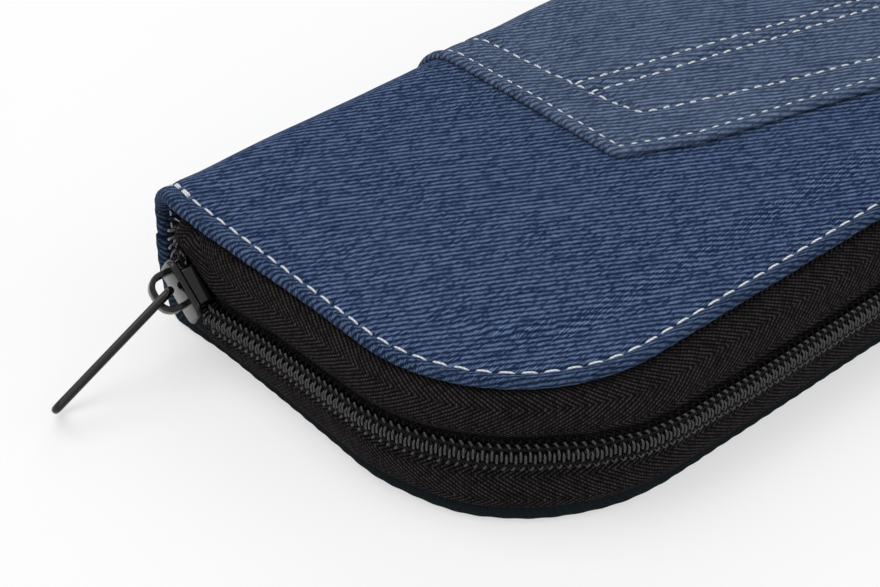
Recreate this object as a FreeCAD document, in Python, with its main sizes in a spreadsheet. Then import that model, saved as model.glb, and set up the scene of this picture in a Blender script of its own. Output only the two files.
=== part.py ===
import FreeCAD, Part
import math
import os

import Sketcher

Vector = FreeCAD.Vector

# Driving sizes of a zipped denim case for a pocket calculator, in millimetres and degrees.
# +X runs along the case, the spine is at +Y, the zipper goes round the other three sides,
# and the origin is in the middle of the face that the case rests on.
sizes = {
    "case_length": 200.0,
    "case_width": 95.0,
    "case_height": 27.0,
    "corner_radius": 37.0,
    "spine_round": 9.5,
    "spine_corner": 7.0,
    "fold_gap": 0.4,
    "denim": 1.0,
    "hem_inset": 1.8,
    "hem_width": 4.0,
    "hem_depth": 2.4,
    "hem_round": 0.8,
    "foam": 3.0,
    "lining": 0.6,
    "layer_gap": 0.1,
    "tape": 0.6,
    "tape_flange": 5.8,
    "tape_mouth": 2.6,
    "tape_end_setback": 6.0,
    "tape_end_bend": 6.0,
    "gusset_setback": 13.1,
    "post_room": 0.3,
    "binding_width": 2.2,
    "binding_wrap": 0.8,
    "binding_cap": 0.4,
    "patch": 1.2,
    "patch_edge_start": 63.5,
    "patch_tip_start": 68.8,
    "patch_tip_inset": 46.4,
    "patch_front_start": 183.0,
    "strap_width": 30.0,
    "strap": 1.2,
    "strap_inset": 9.5,
    "pocket_length": 140.0,
    "pocket_inset": 11.5,
    "pocket_mouth": 8.0,
    "pocket_cloth": 0.8,
    "pocket_hem": 6.0,
    "tooth_pitch": 1.45,
    "tooth_width": 0.62,
    "tooth_reach": 1.1,
    "tooth_thickness": 2.0,
    "coil_thickness": 2.2,
    "coil_half_width": 2.7,
    "coil_cord": 1.4,
    "coil_end_gap": 0.6,
    "slider_setback": 18.2,
    "slider_rise": 1.4,
    "slider_tilt": 39.0,
    "slider_length": 11.0,
    "slider_shoulder": 4.0,
    "slider_tail": 3.7,
    "slider_nose": 2.4,
    "slider_bevel": 1.4,
    "slider_plate": 1.3,
    "slider_gap": 0.4,
    "slider_flange": 0.7,
    "slider_flange_length": 6.0,
    "slider_post": 2.2,
    "slider_post_nose": 1.1,
    "slider_post_length": 3.4,
    "slider_travel": 32.0,
    "bail_span": 7.4,
    "bail_height": 4.4,
    "bail_shift": 1.0,
    "bail_strap": 1.0,
    "bail_width": 2.4,
    "bail_bend": 1.8,
    "puller_wire": 1.5,
    "puller_length": 27.9,
    "puller_width": 9.0,
    "puller_neck": 7.0,
    "puller_bend": 1.5,
    "puller_facets": 8,
    "puller_play": 0.65,
    "puller_shift": 1.35,
    "puller_turn": 177.65,
    "puller_lift": 1.96,
}

document = FreeCAD.newDocument("denim_calculator_case")
sheet = document.addObject("Spreadsheet::Sheet", "Sizes")
for row, (alias, size) in enumerate(sizes.items(), start=1):
    sheet.set(f"A{row}", alias)
    sheet.set(f"B{row}", str(size))
    sheet.setAlias(f"B{row}", alias)
document.recompute()

# Lengths that follow from the driving sizes, as the sheet's expressions.
middle = "Sizes.case_height / 2"
spine_face = "Sizes.case_width / 2"
fold_y = "(Sizes.case_width / 2 - Sizes.spine_round)"
half_gap = "Sizes.fold_gap * sqrt(0.5)"
foam_under = "Sizes.denim"
lining_under = "(Sizes.denim + Sizes.foam)"
inside_face = "(Sizes.denim + Sizes.foam + Sizes.lining)"
tape_front = "(Sizes.coil_thickness / 2)"
tape_back = "(Sizes.coil_thickness / 2 + Sizes.tape)"
flange_inset = "(Sizes.hem_inset + Sizes.tape_flange)"
foam_inset = "(Sizes.hem_inset + Sizes.tape_flange + Sizes.layer_gap)"
binding_outer = "(Sizes.hem_inset + Sizes.tape_flange - Sizes.binding_width)"
lining_inset = "(Sizes.hem_inset + Sizes.tape_flange - Sizes.binding_width + Sizes.binding_wrap)"
tape_end_y = "(Sizes.case_width / 2 - Sizes.tape_end_setback)"
gusset_y = "(Sizes.case_width / 2 - Sizes.gusset_setback)"
slider_y = "(Sizes.case_width / 2 - Sizes.slider_setback)"
slider_z = "(Sizes.case_height / 2 + Sizes.slider_rise)"
far_out = "Sizes.case_width"
below = "-Sizes.case_height"
above = "2 * Sizes.case_height"


def read(expression):
    return float(sheet.evalExpression(expression.replace("Sizes.", "")))


def from_top(height):
    return f"Sizes.case_height - ({height})"


def body(label):
    made = document.addObject("PartDesign::Body", label)
    made.Label = label
    return made


def place_line(sketch, kind, geometry, expression):
    if kind == "DistanceX":
        axis = -2
    else:
        axis = -1
    if expression == "0":
        sketch.addConstraint(Sketcher.Constraint("PointOnObject", geometry, 1, axis))
        return
    index = sketch.addConstraint(
        Sketcher.Constraint(kind, -1, 1, geometry, 1, read(expression))
    )
    sketch.setExpression(f"Constraints[{index}]", expression)


def add_loop(sketch, corners):
    """A closed loop of straight edges. Each corner is (u, v) or (u, v, radius)."""
    count = len(corners)
    points = [Vector(read(c[0]), read(c[1]), 0) for c in corners]
    radii = [c[2] if len(c) > 2 else None for c in corners]
    starts, ends = [], []
    for i, point in enumerate(points):
        before = (points[i - 1] - point).normalize()
        after = (points[(i + 1) % count] - point).normalize()
        radius = read(radii[i]) if radii[i] else 0.0
        ends.append(point + before * radius)
        starts.append(point + after * radius)
    lines = []
    for i in range(count):
        line = Part.LineSegment(starts[i], ends[(i + 1) % count])
        lines.append(sketch.addGeometry(line))
    for i, corner in enumerate(corners):
        after = corners[(i + 1) % count]
        before = corners[i - 1]
        upright = corner[0] == after[0]
        level = corner[1] == after[1]
        if upright:
            sketch.addConstraint(Sketcher.Constraint("Vertical", lines[i]))
            place_line(sketch, "DistanceX", lines[i], corner[0])
        elif level:
            sketch.addConstraint(Sketcher.Constraint("Horizontal", lines[i]))
            place_line(sketch, "DistanceY", lines[i], corner[1])
        if not radii[i]:
            sketch.addConstraint(
                Sketcher.Constraint("Coincident", lines[i - 1], 2, lines[i], 1)
            )
            if not upright and before[0] != corner[0]:
                place_line(sketch, "DistanceX", lines[i], corner[0])
            if not level and before[1] != corner[1]:
                place_line(sketch, "DistanceY", lines[i], corner[1])
            continue
        radius = read(radii[i])
        inward = ends[i] + (starts[i] - points[i])
        turn_left = (points[i] - ends[i]).cross(starts[i] - points[i]).z > 0
        first, last = (ends[i], starts[i]) if turn_left else (starts[i], ends[i])
        angle_first = math.atan2(first.y - inward.y, first.x - inward.x)
        angle_last = math.atan2(last.y - inward.y, last.x - inward.x)
        circle = Part.Circle(inward, Vector(0, 0, 1), radius)
        arc = sketch.addGeometry(Part.ArcOfCircle(circle, angle_first, angle_last))
        arc_in, arc_out = (1, 2) if turn_left else (2, 1)
        sketch.addConstraint(Sketcher.Constraint("Tangent", lines[i - 1], 2, arc, arc_in))
        sketch.addConstraint(Sketcher.Constraint("Tangent", arc, arc_out, lines[i], 1))
        index = sketch.addConstraint(Sketcher.Constraint("Radius", arc, radius))
        sketch.setExpression(f"Constraints[{index}]", radii[i])


def sketch_on(owner, plane, loops, lift=None):
    sketch = owner.newObject("Sketcher::SketchObject", f"{owner.Label}_sketch")
    role = f"{plane}_Plane"
    support = next(f for f in owner.Origin.OriginFeatures if f.Role == role)
    sketch.AttachmentSupport = [(support, "")]
    sketch.MapMode = "FlatFace"
    if lift:
        sketch.setExpression("AttachmentOffset.Base.z", lift)
    for loop in loops:
        add_loop(sketch, loop)
    return sketch


def pad(owner, plane, loops, length, lift=None, both_ways=False):
    sketch = sketch_on(owner, plane, loops, lift)
    feature = owner.newObject("PartDesign::Pad", f"{owner.Label}_pad")
    feature.Profile = sketch
    feature.setExpression("Length", length)
    feature.Midplane = both_ways
    return feature


def pocket(owner, plane, loops, length=None, lift=None, both_ways=True, reverse=False):
    sketch = sketch_on(owner, plane, loops, lift)
    feature = owner.newObject("PartDesign::Pocket", f"{owner.Label}_pocket")
    feature.Profile = sketch
    feature.Midplane = both_ways
    feature.Reversed = reverse
    if length:
        feature.setExpression("Length", length)
    else:
        feature.Type = 1
    return feature


def outline(inset, spine_y, spine_corner=None):
    """The case's plan: two large corners on the zipper side, inset from the zipper line."""
    side = f"Sizes.case_length / 2 - {inset}"
    front = f"-(Sizes.case_width / 2 - {inset})"
    radius = f"Sizes.corner_radius - {inset}"
    return [
        (f"-({side})", spine_y, spine_corner),
        (f"-({side})", front, radius),
        (side, front, radius),
        (side, spine_y, spine_corner),
    ]


def wrap(depth, front=f"-{far_out}"):
    """The section across the case, depth inside its skin, open towards the zipper side."""
    face = f"Sizes.case_width / 2 - {depth}"
    radius = f"Sizes.spine_round - {depth}"
    return [
        (front, depth),
        (face, depth, radius),
        (face, from_top(depth), radius),
        (front, from_top(depth)),
    ]


surround = [
    (f"-{far_out} - Sizes.patch", below),
    (far_out, below),
    (far_out, above),
    (f"-{far_out} - Sizes.patch", above),
]

# The case folds along two lines, each cut by a plane at 45 degrees through the round's centre.
back_cut = [
    (f"-{far_out}", "Sizes.spine_round"),
    (f"{fold_y} - {half_gap}", "Sizes.spine_round"),
    (f"{fold_y} - {half_gap} + Sizes.case_height", "Sizes.spine_round - Sizes.case_height"),
    (far_out, "Sizes.spine_round - Sizes.case_height"),
    (far_out, above),
    (f"-{far_out}", above),
]
front_cut = [(u, from_top(v)) for u, v in reversed(back_cut)]
spine_cut = [
    (f"-{far_out}", below),
    (f"{fold_y} + {half_gap} + Sizes.spine_round + Sizes.case_height", below),
    (f"{fold_y} + {half_gap}", "Sizes.spine_round"),
    (f"{fold_y} + {half_gap}", from_top("Sizes.spine_round")),
    (f"{fold_y} + {half_gap} + Sizes.spine_round + Sizes.case_height", above),
    (f"-{far_out}", above),
]
cuts = {"back": back_cut, "front": front_cut, "spine": spine_cut}


def layer(label, portion, outer, inner, inset, stand="0"):
    """One wrapped layer of the case's wall, cut to its back, spine or front portion.
    It may stand proud of the denim."""
    made = body(label)
    edge = f"{spine_face} + {stand}"
    height = f"Sizes.case_height + {stand}"
    pad(made, "XY", [outline(inset, edge, "Sizes.spine_corner")], height)
    pocket(made, "YZ", [surround, wrap(outer)])
    pocket(made, "YZ", [wrap(inner)])
    pocket(made, "YZ", [cuts[portion]])
    return made


def edges_at(shape, inset, height):
    """Names of the edges of the outline at that inset and height, spine side left out."""
    side = read(f"Sizes.case_length / 2 - {inset}")
    front = read(f"Sizes.case_width / 2 - {inset}")
    spine_start = read(fold_y)
    names = []
    for number, edge in enumerate(shape.Edges, start=1):
        box = edge.BoundBox
        flat = abs(box.ZMin - height) < 0.01 and abs(box.ZMax - height) < 0.01
        outer = max(abs(box.XMin), abs(box.XMax)) > side - 0.01 or box.YMin < 0.01 - front
        if flat and outer and box.YMax < spine_start + 0.01:
            names.append(f"Edge{number}")
    return names


def cover(label, portion):
    """Denim, one cloth thick, with a turned-in hem round its edge."""
    made = layer(label, portion, "0", "Sizes.hem_depth", "Sizes.hem_inset")
    thin_inset = "(Sizes.hem_inset + Sizes.hem_width)"
    if portion != "spine":
        hollow = outline(thin_inset, fold_y)
        height = "Sizes.case_height - 2 * Sizes.denim"
        pocket(made, "XY", [hollow], height, "Sizes.denim", both_ways=False, reverse=True)
    thin = wrap("Sizes.denim", f"{fold_y} - Sizes.layer_gap")
    pocket(made, "YZ", [thin], f"Sizes.case_length - 2 * {thin_inset}")
    if portion != "spine":
        document.recompute()
        last = made.Tip
        hem = made.newObject("PartDesign::Chamfer", f"{label}_rolled_hem")
        levels = ["0", "Sizes.hem_depth"]
        if portion == "front":
            levels = [from_top(level) for level in levels]
        names = []
        for level in levels:
            names += edges_at(last.Shape, "Sizes.hem_inset", read(level))
        hem.Base = (last, names)
        hem.setExpression("Size", "Sizes.hem_round")
        made.Tip = hem
    return made


for portion in ("back", "spine", "front"):
    cover(f"{portion}_cover", portion)
    layer(f"{portion}_foam", portion, foam_under, lining_under, foam_inset)
    edge = lining_inset if portion != "spine" else foam_inset
    layer(f"{portion}_lining", portion, lining_under, inside_face, edge)


# Tapes: a wall that stands beside the coil, and a flange that is sewn under the hem.
mouth_low = f"({middle} - Sizes.tape_mouth / 2)"
mouth_high = f"({middle} + Sizes.tape_mouth / 2)"
post_top = (
    f"({slider_z} + Sizes.post_room"
    " + sin(Sizes.slider_tilt) * (Sizes.slider_length / 2 - Sizes.slider_gap)"
    " + cos(Sizes.slider_tilt) * Sizes.slider_post / 2)"
)
notch_y = f"({slider_y} - Sizes.slider_travel - Sizes.tape_end_bend)"
tape_end_x = f"(Sizes.case_length / 2 - {lining_inset} + Sizes.layer_gap)"
bend_start_y = f"({tape_end_y} - Sizes.tape_end_bend)"


def tape(label, low, high, wall_low):
    made = body(label)
    bend = "Sizes.tape_end_bend"
    pad(made, "XY", [outline(tape_front, tape_end_y, bend)], f"{high} - ({low})", low)
    within = "Sizes.tape_end_bend - Sizes.tape"
    wall = outline(tape_back, f"{tape_end_y} - Sizes.tape", within)
    free_height = f"{high} - ({low}) - Sizes.tape"
    pocket(made, "XY", [wall], free_height, wall_low, both_ways=False, reverse=True)
    pocket(made, "XY", [outline(flange_inset, far_out)])
    spine_side = [
        (f"-{tape_end_x}", bend_start_y),
        (tape_end_x, bend_start_y),
        (tape_end_x, far_out),
        (f"-{tape_end_x}", far_out),
    ]
    pocket(made, "XY", [spine_side])
    pocket(made, "YZ", [surround, wrap("(Sizes.hem_depth + Sizes.layer_gap)")])
    return made


# Where the slider parts the chain, the lower tape stands higher as a gusset and the upper
# tape's own edge starts above the slider's post.
lower_tape = tape("lower_tape", "Sizes.hem_depth", post_top, "Sizes.hem_depth + Sizes.tape")
beside_gusset = [
    (f"-{far_out}", mouth_low),
    (gusset_y, mouth_low),
    (gusset_y, above),
    (f"-{far_out}", above),
]
pocket(lower_tape, "YZ", [beside_gusset])
far_gusset = [
    ("0", mouth_low),
    (far_out, mouth_low),
    (far_out, above),
    ("0", above),
]
pocket(lower_tape, "YZ", [far_gusset], both_ways=False, reverse=True)

upper_tape = tape("upper_tape", mouth_high, from_top("Sizes.hem_depth"), mouth_high)
post_notch = [
    (notch_y, "0"),
    (far_out, "0"),
    (far_out, f"{post_top} + Sizes.post_room"),
    (notch_y, f"{post_top} + Sizes.post_room"),
]
pocket(upper_tape, "YZ", [post_notch], both_ways=False)


def binding(label, lining_low, low):
    """A strip folded round the edge of the lining, over the flange of the tape."""
    made = body(label)
    pad(made, "XY", [outline(binding_outer, fold_y)], binding_height, low)
    pocket(made, "XY", [outline(flange_inset, far_out)])
    slab = outline(lining_inset, far_out)
    pocket(made, "XY", [slab], "Sizes.lining", lining_low, both_ways=False, reverse=True)
    return made


flange_top = "(Sizes.hem_depth + Sizes.tape)"
binding_height = f"{inside_face} + Sizes.binding_cap - {flange_top}"
binding("back_binding", lining_under, flange_top)
binding("front_binding", from_top(inside_face), from_top(f"({inside_face} + Sizes.binding_cap)"))


# The pocket patch lies on the front cover and turns over its spine edge.
near_end = "-Sizes.case_length / 2"
patch_inset = "(Sizes.hem_inset + Sizes.layer_gap)"
patch = layer("pocket_patch", "front", "(0 - Sizes.patch)", "0", patch_inset, "Sizes.patch")
outside_patch = [
    (f"-{far_out} - Sizes.case_length", f"-{far_out}"),
    (f"{near_end} + Sizes.patch_front_start", f"-{far_out}"),
    (f"{near_end} + Sizes.patch_front_start", "Sizes.hem_inset - Sizes.case_width / 2"),
    (f"{near_end} + Sizes.patch_tip_start", "Sizes.patch_tip_inset - Sizes.case_width / 2"),
    (f"{near_end} + Sizes.patch_edge_start", f"{spine_face} + Sizes.patch"),
    (f"{near_end} + Sizes.patch_edge_start", far_out),
    (f"-{far_out} - Sizes.case_length", far_out),
]
pocket(patch, "XY", [outside_patch])

# An elastic strap lies over the back lining, and a slip pocket is sewn inside the lid.
strap = body("holding_strap")
strap_end = "(Sizes.case_width / 2 - Sizes.strap_inset)"
strap_shape = [
    ("-Sizes.strap_width / 2", f"-{strap_end}"),
    ("Sizes.strap_width / 2", f"-{strap_end}"),
    ("Sizes.strap_width / 2", f"{strap_end} - Sizes.strap"),
    ("-Sizes.strap_width / 2", f"{strap_end} - Sizes.strap"),
]
pad(strap, "XY", [strap_shape], "Sizes.strap", inside_face)

slip_low = from_top(f"({inside_face} + Sizes.pocket_cloth)")
slip = body("slip_pocket")
slip_front = "Sizes.pocket_inset - Sizes.case_width / 2"
slip_shape = [
    ("-Sizes.pocket_length / 2", slip_front),
    ("Sizes.pocket_length / 2", slip_front),
    ("Sizes.pocket_length / 2", "Sizes.pocket_mouth"),
    ("-Sizes.pocket_length / 2", "Sizes.pocket_mouth"),
]
pad(slip, "XY", [slip_shape], "Sizes.pocket_cloth", slip_low)

slip_hem = body("slip_pocket_hem")
hem_low = from_top(f"({inside_face} + 2 * Sizes.pocket_cloth)")
hem_shape = [
    ("-Sizes.pocket_length / 2", "Sizes.pocket_mouth - Sizes.pocket_hem"),
    ("Sizes.pocket_length / 2", "Sizes.pocket_mouth - Sizes.pocket_hem"),
    ("Sizes.pocket_length / 2", "Sizes.pocket_mouth + Sizes.pocket_cloth"),
    ("-Sizes.pocket_length / 2", "Sizes.pocket_mouth + Sizes.pocket_cloth"),
]
pad(slip_hem, "XY", [hem_shape], "2 * Sizes.pocket_cloth", hem_low)
pocket(slip_hem, "XY", [slip_shape], "Sizes.pocket_cloth", slip_low, both_ways=False, reverse=True)


# Slider, drawn in its own frame: local Y along the chain towards the shoulder, local X
# from the front of the tape to its back.
def at_slider(made):
    made.setExpression("Placement.Base.x", "-Sizes.case_length / 2")
    made.setExpression("Placement.Base.y", slider_y)
    made.setExpression("Placement.Base.z", slider_z)
    made.Placement.Rotation = FreeCAD.Rotation(Vector(1, 0, 0), sizes["slider_tilt"])
    made.setExpression("Placement.Rotation.Angle", "Sizes.slider_tilt")


plate_inner = f"({tape_front} + Sizes.slider_gap)"
plate_face = f"({tape_front} + Sizes.slider_gap + Sizes.slider_plate)"
back_inner = f"({tape_back} + Sizes.slider_gap)"
tail_end = "-Sizes.slider_length / 2"
shoulder_end = "Sizes.slider_length / 2"


tail_side = f"({tail_end} + Sizes.slider_bevel)"
shoulder_side = f"({shoulder_end} - Sizes.slider_bevel)"


def plate_shape(trim="0"):
    """A plate with bevelled corners, widest at the shoulder, trimmed along its sides."""
    shoulder = f"(Sizes.slider_shoulder - {trim})"
    tail = f"(Sizes.slider_tail - {trim})"
    return [
        (tail_end, "-Sizes.slider_nose"),
        (tail_side, f"-{tail}"),
        (shoulder_side, f"-{shoulder}"),
        (shoulder_end, "-Sizes.slider_nose"),
        (shoulder_end, "Sizes.slider_nose"),
        (shoulder_side, shoulder),
        (tail_side, tail),
        (tail_end, "Sizes.slider_nose"),
    ]


slider = body("slider_body")
pad(slider, "YZ", [plate_shape()], "Sizes.slider_plate", f"-{plate_face}")
post_start = "(Sizes.slider_length / 2 - Sizes.slider_gap - Sizes.slider_post_length)"
post_end = "(Sizes.slider_length / 2 - Sizes.slider_gap)"
post_shape = [
    (post_start, "-Sizes.slider_post_nose / 2"),
    (f"{post_start} + Sizes.slider_post / 2", "-Sizes.slider_post / 2"),
    (post_end, "-Sizes.slider_post / 2"),
    (post_end, "Sizes.slider_post / 2"),
    (f"{post_start} + Sizes.slider_post / 2", "Sizes.slider_post / 2"),
    (post_start, "Sizes.slider_post_nose / 2"),
]
post_height = f"{back_inner} + {plate_inner}"
pad(slider, "YZ", [post_shape], post_height, f"-{plate_inner}")
back_plate = plate_shape("Sizes.slider_gap")
pad(slider, "YZ", [back_plate], "Sizes.slider_plate", back_inner)
for side in ("", "-"):
    inner = f"{side}(Sizes.coil_half_width + Sizes.post_room)"
    outer = f"{side}(Sizes.coil_half_width + Sizes.post_room + Sizes.slider_flange)"
    low, high = (inner, outer) if side == "" else (outer, inner)
    flange = [
        (tail_side, low),
        (f"{tail_side} + Sizes.slider_flange_length", low),
        (f"{tail_side} + Sizes.slider_flange_length", high),
        (tail_side, high),
    ]
    reach = f"{plate_inner} - {tape_front} + Sizes.coil_thickness - Sizes.post_room"
    pad(slider, "YZ", [flange], reach, f"-{plate_inner}")
at_slider(slider)

bail = body("slider_bail")
outer_bend = "Sizes.bail_bend + Sizes.bail_strap"
bail_low = "(Sizes.bail_shift - Sizes.bail_span / 2)"
bail_high = "(Sizes.bail_shift + Sizes.bail_span / 2)"
bail_outer = [
    (f"-{plate_face}", bail_low),
    (f"-{plate_face}", bail_high),
    (f"-{plate_face} - Sizes.bail_height", bail_high, outer_bend),
    (f"-{plate_face} - Sizes.bail_height", bail_low, outer_bend),
]
pad(bail, "XY", [bail_outer], "Sizes.bail_width", both_ways=True)
inner_reach = f"-{plate_face} - Sizes.bail_height + Sizes.bail_strap"
inner_low = f"({bail_low} + Sizes.bail_strap)"
inner_high = f"({bail_high} - Sizes.bail_strap)"
bail_inner = [
    (f"-{plate_inner}", inner_low),
    (f"-{plate_inner}", inner_high),
    (inner_reach, inner_high, "Sizes.bail_bend"),
    (inner_reach, inner_low, "Sizes.bail_bend"),
]
pocket(bail, "XY", [bail_inner])
at_slider(bail)


def puller_shape():
    """A bent wire loop, narrower at the bail that it hangs in, whose end lies on the table."""
    wire = sizes["puller_wire"]
    tilt = math.radians(sizes["slider_tilt"])
    across = Vector(0, -math.sin(tilt), math.cos(tilt))
    upwards = Vector(0, math.cos(tilt), math.sin(tilt))
    plate_x = -sizes["case_length"] / 2 - read(plate_face)
    neck_x = plate_x - sizes["puller_play"] - wire / 2
    pivot = Vector(neck_x, read(slider_y), read(slider_z)) + upwards * sizes["bail_shift"]
    turn = math.radians(sizes["puller_turn"])
    droop = math.asin((pivot.z - sizes["puller_lift"]) / sizes["puller_length"])
    along = Vector(math.cos(turn), math.sin(turn), -math.tan(droop)).normalize()
    wide = (across - along * across.dot(along)).normalize()
    centre = pivot + wide * sizes["puller_shift"]
    neck = sizes["puller_neck"] / 2 - wire / 2
    side = sizes["puller_width"] / 2 - wire / 2
    end = sizes["puller_length"] - wire / 2
    corners = [(0, -neck), (0, neck), (end, side), (end, -side)]
    return bent_wire([centre + along * a + wide * b for a, b in corners], wire)


def bent_wire(corners, wire):
    """A closed loop of wire, its round drawn with flats, with one bend at each corner."""
    radius = sizes["puller_bend"]
    pieces = []
    run_starts = []
    run_ends = []
    for i, corner in enumerate(corners):
        back = (corners[i - 1] - corner).normalize()
        ahead = (corners[(i + 1) % len(corners)] - corner).normalize()
        half_turn = (math.pi - back.getAngle(ahead)) / 2
        first = corner + back * (radius * math.tan(half_turn))
        centre = corner + (back + ahead).normalize() * (radius / math.cos(half_turn))
        axle = ahead.cross(back).normalize()
        section = wire_section(first, back, axle, wire)
        pieces.append(section.revolve(centre, axle, math.degrees(2 * half_turn)))
        run_ends.append((first, section))
        run_starts.append(corner + ahead * (radius * math.tan(half_turn)))
    for start, (end, section) in zip(run_starts, run_ends[1:] + run_ends[:1]):
        pieces.append(section.extrude(start - end))
    return pieces[0].multiFuse(pieces[1:])


def wire_section(middle, forward, axle, wire):
    count = int(sizes["puller_facets"])
    sideways = forward.cross(axle).normalize()
    points = []
    for i in range(count + 1):
        angle = 2 * math.pi * (i + 1 / 2) / count
        arm = axle * math.cos(angle) + sideways * math.sin(angle)
        points.append(middle + arm * (wire / 2))
    return Part.Face(Part.makePolygon(points))


def feature(label, shape):
    made = document.addObject("Part::Feature", label)
    made.Label = label
    made.Shape = shape
    return made


feature("puller", puller_shape())


# Coils: each is one filament, drawn as a root strip with teeth that stand between the teeth
# of the other coil. Teeth are spread evenly over each straight and corner of the zipper line.
class Chain:
    """One coil's section: its root, the edge of its cord and the tips of its teeth."""

    def __init__(self, side, phase):
        half_width = sizes["coil_half_width"]
        self.root = side * half_width
        self.cord = side * (half_width - sizes["coil_cord"])
        self.tip = -side * sizes["tooth_reach"]
        self.phase = phase

    def tooth_places(self, length):
        count = max(1, round(length / sizes["tooth_pitch"]))
        return [(i + self.phase) * length / count for i in range(count)]

    def block(self, start, along, across, length, low, high, thick):
        """A block from start, between low and high across the chain, thick through it."""
        through = along.cross(across).normalize() * thick
        base = start - through / 2
        ends = [(0, low), (length, low), (length, high), (0, high), (0, low)]
        face = Part.Face(Part.makePolygon([base + along * s + across * t for s, t in ends]))
        return face.extrude(through)

    def tooth(self, middle, along, across):
        width = sizes["tooth_width"]
        start = middle - along * (width / 2)
        thick = sizes["tooth_thickness"]
        return self.block(start, along, across, width, self.cord, self.tip, thick)

    def straight(self, start, along, across, length):
        """A straight run from start, in the plane of along and across."""
        thick = sizes["coil_thickness"]
        strip = self.block(start, along, across, length, self.root, self.cord, thick)
        places = self.tooth_places(length)
        return strip.multiFuse([self.tooth(start + along * s, along, across) for s in places])

    def corner(self, centre, radius, start_angle):
        """A quarter turn about an upright line, anticlockwise from start_angle."""
        up = Vector(0, 0, 1)
        half = sizes["coil_thickness"] / 2
        section = [(radius - half, self.root), (radius + half, self.root)]
        section += [(radius + half, self.cord), (radius - half, self.cord), section[0]]
        face = Part.Face(Part.makePolygon([Vector(r, 0, z) for r, z in section]))
        face.rotate(Vector(0, 0, 0), up, start_angle)
        face.translate(centre)
        strip = face.revolve(centre, up, 90)
        teeth = []
        for place in self.tooth_places(radius * math.pi / 2):
            angle = math.radians(start_angle) + place / radius
            outward = Vector(math.cos(angle), math.sin(angle), 0)
            teeth.append(self.tooth(centre + outward * radius, up.cross(outward), up))
        return strip.multiFuse(teeth)


def coil(chain):
    """The coil round the two corners, the zipper side and the far end."""
    half_length = sizes["case_length"] / 2
    radius = sizes["corner_radius"]
    front = -sizes["case_width"] / 2
    level = sizes["case_height"] / 2
    up = Vector(0, 0, 1)
    near_centre = Vector(radius - half_length, front + radius, level)
    far_centre = Vector(half_length - radius, front + radius, level)
    near = chain.corner(near_centre, radius, 180)
    far = chain.corner(far_centre, radius, 270)
    front_start = Vector(radius - half_length, front, level)
    side = chain.straight(front_start, Vector(1, 0, 0), up, 2 * (half_length - radius))
    end_length = read(tape_end_y) - sizes["tape_end_bend"] - (front + radius)
    far_start = Vector(half_length, front + radius, level)
    end = chain.straight(far_start, Vector(0, 1, 0), up, end_length)
    return near.multiFuse([side, far, end])


def tape_strip(points):
    """A piece of tape behind the coil on the near end, from points (y, z)."""
    half_length = sizes["case_length"] / 2
    front = -half_length + read(tape_front)
    corners = [Vector(front, y, z) for y, z in points]
    return Part.Face(Part.makePolygon(corners + corners[:1])).extrude(Vector(sizes["tape"], 0, 0))


def coil_run(chain, tape_edge):
    """The stretch that the slider travels, sloping down to the slider's tail and up inside it
    to its post, with the edge of its tape."""
    half_length = sizes["case_length"] / 2
    level = sizes["case_height"] / 2
    tilt = math.radians(sizes["slider_tilt"])
    along = Vector(0, math.cos(tilt), math.sin(tilt))
    across = Vector(0, -math.sin(tilt), math.cos(tilt))
    slider_at = Vector(-half_length, read(slider_y), read(slider_z))
    tail = -sizes["slider_length"] / 2 + sizes["coil_end_gap"]
    inside_start = slider_at + along * tail
    inside_length = read(post_start) - sizes["coil_end_gap"] - tail
    inside = chain.straight(inside_start, along, across, inside_length)
    corner_start = sizes["corner_radius"] - sizes["case_width"] / 2
    tail_edge = read("Sizes.coil_half_width + Sizes.post_room + Sizes.slider_flange")
    run_end = slider_at.y - along.y * sizes["slider_length"] / 2 - tail_edge * math.sin(tilt)
    start = Vector(-half_length, corner_start, level)
    slope = (inside_start - start).normalize()
    run_length = (run_end - sizes["coil_end_gap"] - corner_start) / slope.y
    run = chain.straight(start, slope, Vector(0, 0, 1), run_length)
    run_stop = start + slope * run_length
    thick = sizes["coil_thickness"]
    mouth = inside_start - along * (sizes["coil_end_gap"] + sizes["post_room"])
    bend_points = [
        run_stop + Vector(0, 0, chain.root),
        run_stop + Vector(0, 0, chain.cord),
        inside_start + across * chain.cord,
        inside_start + across * chain.root,
        mouth + across * chain.root,
    ]
    bend_points = [p - Vector(thick / 2, 0, 0) for p in bend_points]
    bend = Part.Face(Part.makePolygon(bend_points + bend_points[:1])).extrude(Vector(thick, 0, 0))
    return run.multiFuse([inside, bend, tape_strip(tape_edge)]).removeSplitter()


lower_chain = Chain(-1, 0.25)
upper_chain = Chain(1, 0.75)
feature("lower_coil", coil(lower_chain))
feature("upper_coil", coil(upper_chain))


def coil_end(y, low, high):
    """The parted end of one coil, upright between the slider and the hem, teeth at y."""
    start = Vector(-sizes["case_length"] / 2, y - sizes["tooth_reach"], low)
    return lower_chain.straight(start, Vector(0, 0, 1), Vector(0, 1, 0), high - low)


# Beyond the slider the two coils part: one goes up to the front hem, one down to the back hem.
# Both turn their teeth towards the spine.
upper_end_y = read(gusset_y) - sizes["slider_gap"]
upper_end_low = read(post_top) + sizes["layer_gap"]
upper_end_high = sizes["case_height"] - sizes["hem_depth"] - sizes["layer_gap"]
feature("upper_coil_end", coil_end(upper_end_y, upper_end_low, upper_end_high))
lower_end_y = read(gusset_y) + sizes["slider_gap"] + sizes["coil_half_width"] + sizes["tooth_reach"]
lower_end_low = sizes["hem_depth"] + sizes["layer_gap"]
feature("lower_coil_end", coil_end(lower_end_y, lower_end_low, read(slider_z)))

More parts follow.
